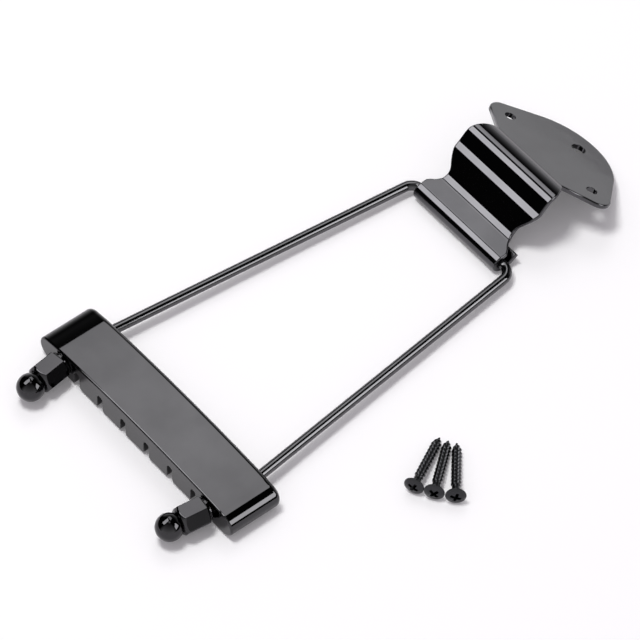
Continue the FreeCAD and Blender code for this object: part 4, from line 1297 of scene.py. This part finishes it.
@dataclass
class LooseScrew(Piece):
    """A wood screw with a domed countersunk head and a cross recess.

    Its head lies so far to the side of the hinge's middle and in front of the hinge. Its point has a heading in
    degrees from the X axis, and it is spun about its own length by so many radians.
    """

    slot = Slot.SCREW
    body = Body.BRACKET
    order: str
    side: float
    back: float
    heading: float
    spin: float
    length: float = 20.5
    crest_radius: float = 1.5
    core_radius: float = 1.02
    core_ease: float = 0.8
    head_radius: float = 3.0
    head_crown: float = 0.9
    head_cone: float = 1.7
    dome_inset: float = 0.06
    dome_pole: float = 0.02
    dome_crowding: float = 0.8
    dome_steps: int = 15
    rim_start: tuple = (0.02, 0.03)
    rim_reach: float = 0.12
    rim_inset: float = 0.05
    neck_radius: float = 1.2
    neck_round: float = 0.4
    neck_length: float = 0.9
    point_length: float = 2.8
    point_swell: float = 1.25
    point_crest: float = 0.12
    point_core: float = 0.1
    tip_radius: float = 0.06
    tip_gap: float = 0.05
    thread_pitch: float = 1.35
    thread_lean: float = 0.62
    thread_hollow: float = 1.5
    steps_per_thread: int = 14
    recess_reach: float = 1.85
    recess_slot: float = 0.5
    recess_depth: float = 1.5
    recess_mouth: tuple = (-0.5, 1.12)
    recess_floor: float = 0.42
    barrel_radius: float = 3.05
    body_end: float = 17.7
    sides: int = 48
    crease: float = 38.0

    @property
    def node(self) -> str:
        """The CAD node that the screw replaces."""
        return self.order + "_screw"

    def head(self) -> list:
        """The head's dome, rim, cone and neck as (height, radius) rings.

        Returns:
            The rings, from the dome's pole.
        """
        dome = (self.head_radius**2 + self.head_crown**2) / (2 * self.head_crown)
        spread = np.linspace(self.dome_pole, 1, self.dome_steps) ** self.dome_crowding
        spread *= self.head_radius - self.dome_inset
        rings = [(dome - math.sqrt(dome**2 - out**2), out) for out in spread]
        neck = self.head_crown + self.head_cone
        under = [
            (self.head_crown - self.rim_start[0], self.head_radius - self.rim_start[1], 0),
            (self.head_crown + self.rim_reach, self.head_radius, 0),
            (self.head_crown + 2 * self.rim_reach, self.head_radius - self.rim_inset, 0),
            (neck, self.neck_radius, self.neck_round),
            (neck + self.neck_length, self.neck_radius, 0),
        ]
        return rings + [*map(tuple, rounded_corners(under, 5))]

    def threads(self, turn: np.ndarray) -> list:
        """The threads and the point.

        Args:
            turn: Angles of the rings' points.

        Returns:
            (height, radius at each angle) of each ring.
        """
        rings = []
        start = self.head_crown + self.head_cone + self.neck_length
        point_start = self.length - self.point_length
        step = self.thread_pitch / self.steps_per_thread
        lean = self.thread_lean
        for along in np.arange(start + step, self.length - self.tip_gap, step):
            phase = (along / self.thread_pitch - turn / FULL_TURN) % 1.0
            rise = np.where(phase < lean, phase / lean, (1 - phase) / (1 - lean)) ** self.thread_hollow
            ease = min(1.0, (along - start) / self.thread_pitch)
            share = max(0.0, (along - point_start) / self.point_length)
            taper = max(0.0, 1 - share**self.point_swell)
            thicker = (self.neck_radius - self.core_radius) * max(0.0, 1 - (along - start) / self.core_ease)
            core = self.core_radius + thicker
            crest = self.crest_radius * (self.point_crest + (1 - self.point_crest) * taper)
            root = max(self.point_core, core * (self.point_core + (1 - self.point_core) * taper))
            rings.append((along, root + (crest - root) * rise * ease))
        return rings

    def recess(self) -> Object:
        """Cutter for the cross recess, which narrows with depth.

        Returns:
            The cutter.
        """
        reach, slot = self.recess_reach, self.recess_slot
        corners = []
        for quarter in range(4):
            turn = np.array(Matrix.Rotation(quarter * QUARTER_TURN, 2))
            corners += [turn @ np.array(corner) for corner in ((reach, -slot), (reach, slot), (slot, slot))]
        outline = np.array(corners)
        points = [
            np.c_[outline * scale, np.full(len(outline), height)]
            for height, scale in (self.recess_mouth, (self.recess_depth, self.recess_floor))
        ]
        return add_mesh("recess", np.vstack(points), ring_faces(2, len(outline)))

    def seat(self) -> Matrix:
        """The screw's own axes, with +Z from its head's top to its point.

        Returns:
            Where they stand in the row frame.
        """
        tilt = math.atan((self.head_radius - self.crest_radius) / (self.body_end - self.head_crown))
        table = self.seats.hinge.z - self.barrel_radius * MM
        height = (self.head_radius * math.cos(tilt) + (self.head_crown + self.rim_reach) * math.sin(tilt)) * MM
        top = Vector((self.side * MM, self.seats.hinge.y - self.back * MM, table + height))
        heading = Matrix.Rotation(math.radians(self.heading), 4, "Z")
        flat = Matrix.Rotation(QUARTER_TURN + tilt, 4, "Y")
        own = Matrix.Rotation(self.spin, 4, "Z")
        return Matrix.Translation(top) @ heading @ flat @ own

    def shape(self) -> Object:
        """Turns the screw and presses its recess.

        Returns:
            The bare screw.
        """
        turn = around(self.sides)
        rings = [*self.head(), *self.threads(turn), (self.length, self.tip_radius)]
        points, faces = turned_mesh(rings, turn)
        piece = add_mesh(self.node + "_threaded", points, faces)
        cut_away(piece, [self.recess()])
        piece.data.transform(self.seat())
        piece.data.set_sharp_from_angle(angle=math.radians(self.crease))
        return piece


# Order, side, distance in front of the hinge, heading and spin of each
SCREWS = (
    ("first", 62.4, 70.6, 118.4, 0.5),
    ("second", 67.7, 67.5, 128.4, 0.8),
    ("third", 72.6, 63.6, 139.0, 0.35),
)


# The studio


@dataclass(frozen=True)
class PaleSide:
    """A side of the room where the white sweep rises from the floor, angles in degrees."""

    azimuth: float
    half: float
    fade: float
    top: float
    tone: float

    def glow(self, azimuth: float, elevation: float) -> float:
        """Its brightness in a direction from the object.

        Args:
            azimuth: The direction's azimuth in degrees.
            elevation: Its height above the floor in degrees.

        Returns:
            The brightness, where 1 is white.
        """
        beside = max(abs((azimuth - self.azimuth + 180) % 360 - 180) - self.half, 0)
        rise = min(max((self.top - elevation) / self.top, 0), 1)
        return self.tone * rise**2 * max(1 - beside / self.fade, 0)


@dataclass(frozen=True)
class Panel:
    """A rectangular soft lamp that looks at the object: its direction in degrees, metres and watts."""

    name: str
    azimuth: float
    elevation: float
    distance: float
    size: tuple
    power: float


PANELS = (
    Panel("key_panel", 311, 77, 1.3, (0.36, 0.36), 9.3),
    Panel("top_panel", 229, 52, 1.5, (0.6, 0.6), 2.4),
)

# What polished metal mirrors: rows of (azimuth, elevation, brightness), in degrees, where 1 is white
CARDS = {
    "key_card": (
        ((250, 54, 5.2), (270, 79, 5.2)),
        ((272, 57, 5.2), (291, 79, 5.2)),
        ((302, 48, 5.2), (338, 62, 5.2)),
        ((316, 37, 5.4), (341, 46, 5.4)),
    ),
    "side_card": (
        ((104, 38, 5.6), (140, 50, 5.6)),
        ((101, 14, 5.6), (136, 17, 5.6)),
    ),
    "top_card": (
        ((230, 37, 2.0), (218, 47, 2.1), (204, 54, 1.9)),
        ((249, 43.3, 2.4), (232, 52, 2.8), (208, 62, 2.4)),
        ((239.5, 57, 2.9), (231, 62, 2.8), (201, 69, 2.3)),
        ((233, 66, 2.7), (228, 69, 2.6), (200, 74, 2.3)),
    ),
}
WHITE = (1, 1, 1, 1)


@dataclass
class Studio:
    """Pale floor, soft lamps, the dark room round them, and the camera."""

    floor_height: float
    floor_reach: float = 12.0
    middle: tuple = (0.0, -0.08, 0.0)
    card_distance: float = 1.3
    room_radius: float = 3.0
    room_tone: float = 0.012
    pale_sides: tuple = (PaleSide(208.0, 42.0, 14.0, 48.0, 1.3), PaleSide(42.0, 42.0, 24.0, 110.0, 1.1))
    overhead_start: float = 80.0
    overhead_fade: float = 7.0
    overhead_tone: float = 1.3
    room_light: float = 0.43
    shade_tint: tuple = (1.0, 0.94, 1.02, 1.0)
    floor_colour: tuple = (0.9, 0.9, 0.9, 1)
    floor_roughness: float = 0.9
    floor_glow: float = 0.1
    room_step: int = 2
    room_heights: tuple = (-2, 91)
    camera_place: tuple = (0.813673, -0.756212, 1.338716)
    camera_turn: tuple = (38.03352, 0.12516, 50.77899)
    lens: float = 337.5
    sensor: float = 36.0
    clip: tuple = (0.05, 50)

    def seen_directly(self, tree: Tree) -> Socket:
        """The socket that gives 1 where the camera, a mirror or glass looks at a surface.

        Args:
            tree: The node tree that it is added to.

        Returns:
            The socket.
        """
        rays = tree.nodes.new("ShaderNodeLightPath").outputs
        seen = maths(tree, "MAXIMUM", rays["Is Camera Ray"], rays["Is Glossy Ray"])
        return maths(tree, "MAXIMUM", seen, rays["Is Transmission Ray"])

    def floor(self) -> None:
        """The white floor, which keeps the object's shadow."""
        reach = self.floor_reach / MM
        corners = np.array([(-reach, -reach, 0), (reach, -reach, 0), (reach, reach, 0), (-reach, reach, 0)])
        seat = Matrix.Translation((0, 0, self.floor_height))
        piece = add_mesh("studio_floor", corners, [(0, 1, 2, 3)], seat)
        material, tree = new_material("white_floor")
        shader = tree.nodes["Principled BSDF"].inputs
        feed(tree, shader["Base Color"], self.floor_colour)
        feed(tree, shader["Roughness"], self.floor_roughness)
        feed(tree, shader["Specular IOR Level"], 0.0)
        feed(tree, shader["Emission Color"], WHITE)
        glow = maths(tree, "MULTIPLY", self.seen_directly(tree), self.floor_glow)
        feed(tree, shader["Emission Strength"], glow)
        piece.data.materials.append(material)
        piece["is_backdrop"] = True

    def towards(self, azimuth: float, elevation: float) -> Vector:
        """The direction at an azimuth from the object's front and at a height above the floor, in degrees."""
        a, e = math.radians(azimuth), math.radians(elevation)
        return Vector((math.sin(a) * math.cos(e), -math.cos(a) * math.cos(e), math.sin(e)))

    def place(self, azimuth: float, elevation: float, distance: float) -> Vector:
        """The place at a distance from the object in a direction."""
        return Vector(self.middle) + self.towards(azimuth, elevation) * distance

    def hang(self, panel: Panel) -> None:
        """Hangs a soft lamp; its mirror image is a card.

        Args:
            panel: The lamp.
        """
        away = self.towards(panel.azimuth, panel.elevation)
        lamp = bpy.data.lights.new(panel.name, "AREA")
        lamp.shape = "RECTANGLE"
        lamp.size, lamp.size_y = panel.size
        lamp.energy = panel.power
        holder = bpy.data.objects.new(panel.name, lamp)
        holder.location = self.place(panel.azimuth, panel.elevation, panel.distance)
        holder.rotation_euler = (-away).to_track_quat("-Z", "Y").to_euler()
        holder.visible_glossy = False
        bpy.context.scene.collection.objects.link(holder)

    def glowing(self, name: str, points: list, faces: list, glows: list) -> None:
        """Adds a glowing surface that polished metal alone mirrors.

        Args:
            name: Its name.
            points: Its vertices in metres.
            faces: Vertex numbers of each face.
            glows: Brightness at each vertex, where 1 is white.
        """
        piece = add_mesh(name, np.array(points) / MM, faces)
        piece.data.attributes.new("glow", "FLOAT", "POINT").data.foreach_set("value", glows)
        material, tree = new_material(name)
        tree.nodes.remove(tree.nodes["Principled BSDF"])
        tone = add_node(tree, "Attribute", "Fac", {}, attribute_name="glow")
        glow = add_node(tree, "Emission", "Emission", {"Strength": tone})
        feed(tree, tree.nodes["Material Output"].inputs["Surface"], glow)
        piece.data.materials.append(material)
        piece.visible_camera = piece.visible_diffuse = piece.visible_transmission = False
        piece.visible_volume_scatter = piece.visible_shadow = False
        piece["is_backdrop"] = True

    def card(self, name: str, rows: tuple) -> None:
        """A lamp's or ceiling's face as polished metal mirrors it.

        Args:
            name: Its name.
            rows: Rows of (azimuth, elevation, brightness), each as long as the others.
        """
        points = [self.place(*spot[:2], self.card_distance) for row in rows for spot in row]
        width = len(rows[0])
        faces = []
        for row in range(len(rows) - 1):
            for place in range(width - 1):
                first = row * width + place
                faces.append((first, first + 1, first + width + 1, first + width))
        self.glowing(name, points, faces, [glow for row in rows for _, _, glow in row])

    def dark_room(self) -> None:
        """Black walls round the object, with the white sweep on two sides and a pale ceiling overhead."""
        azimuths, elevations = np.arange(0, 360, self.room_step), np.arange(*self.room_heights, self.room_step)
        points, glows = [], []
        for elevation in elevations:
            overhead = self.overhead_tone * min(max((elevation - self.overhead_start) / self.overhead_fade, 0), 1)
            for azimuth in azimuths:
                points.append(self.place(azimuth, elevation, self.room_radius))
                sides = max(side.glow(azimuth, elevation) for side in self.pale_sides)
                glows.append(max(self.room_tone, overhead, sides))
        walls = ring_faces(len(elevations), len(azimuths))[:-2]
        self.glowing("studio_room", points, walls, glows)

    def world(self) -> None:
        """The pale surroundings, white where the camera and polished metal look past the room."""
        world = bpy.data.worlds.new("pale_surroundings")
        bpy.context.scene.world = world
        world.use_nodes = True
        tree = world.node_tree
        background = tree.nodes["Background"].inputs
        seen = self.seen_directly(tree)
        feed(tree, background["Color"], mixed(tree, seen, self.shade_tint, WHITE))
        feed(tree, background["Strength"], rescaled(tree, seen, (0.0, 1.0), (self.room_light, 1.0)))

    def camera(self) -> None:
        """The camera where the photograph was taken from."""
        data = bpy.data.cameras.new("camera")
        data.lens = self.lens
        data.sensor_width = self.sensor
        data.clip_start, data.clip_end = self.clip
        holder = bpy.data.objects.new("camera", data)
        holder.location = self.camera_place
        holder.rotation_euler = Euler([math.radians(angle) for angle in self.camera_turn], "XYZ")
        bpy.context.scene.collection.objects.link(holder)
        bpy.context.scene.camera = holder

    def build(self) -> None:
        """Sets up the floor, the lamps, the room and the camera."""
        bpy.context.scene.view_settings.view_transform = "Standard"
        self.camera()
        self.floor()
        self.world()
        self.dark_room()
        for panel in PANELS:
            self.hang(panel)
        for name, rows in CARDS.items():
            self.card(name, rows)


def main() -> None:
    """Builds the tailpiece, its screws and the studio."""
    logging.basicConfig(level=logging.INFO, format="%(message)s")
    cad_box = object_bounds()
    seats = Seats.from_frame(FLANGE_FALL)
    pieces = [
        HingeBracket(seats).build(BLACK_NICKEL),
        WireFrame(seats).build(DRAWN_NICKEL),
        Crossbar(seats).build(CAST_NICKEL),
        BallNut(seats, -1).build(TURNED_NICKEL),
        BallNut(seats, 1).build(TURNED_NICKEL),
        *(LooseScrew(seats, *screw).build(BLACK_ZINC) for screw in SCREWS),
    ]
    for piece in pieces:
        LOG.info("%s: %d faces", piece.name, len(piece.data.polygons))
    Studio(floor_height=cad_box[0].z).build()


if __name__ == "__main__":
    main()
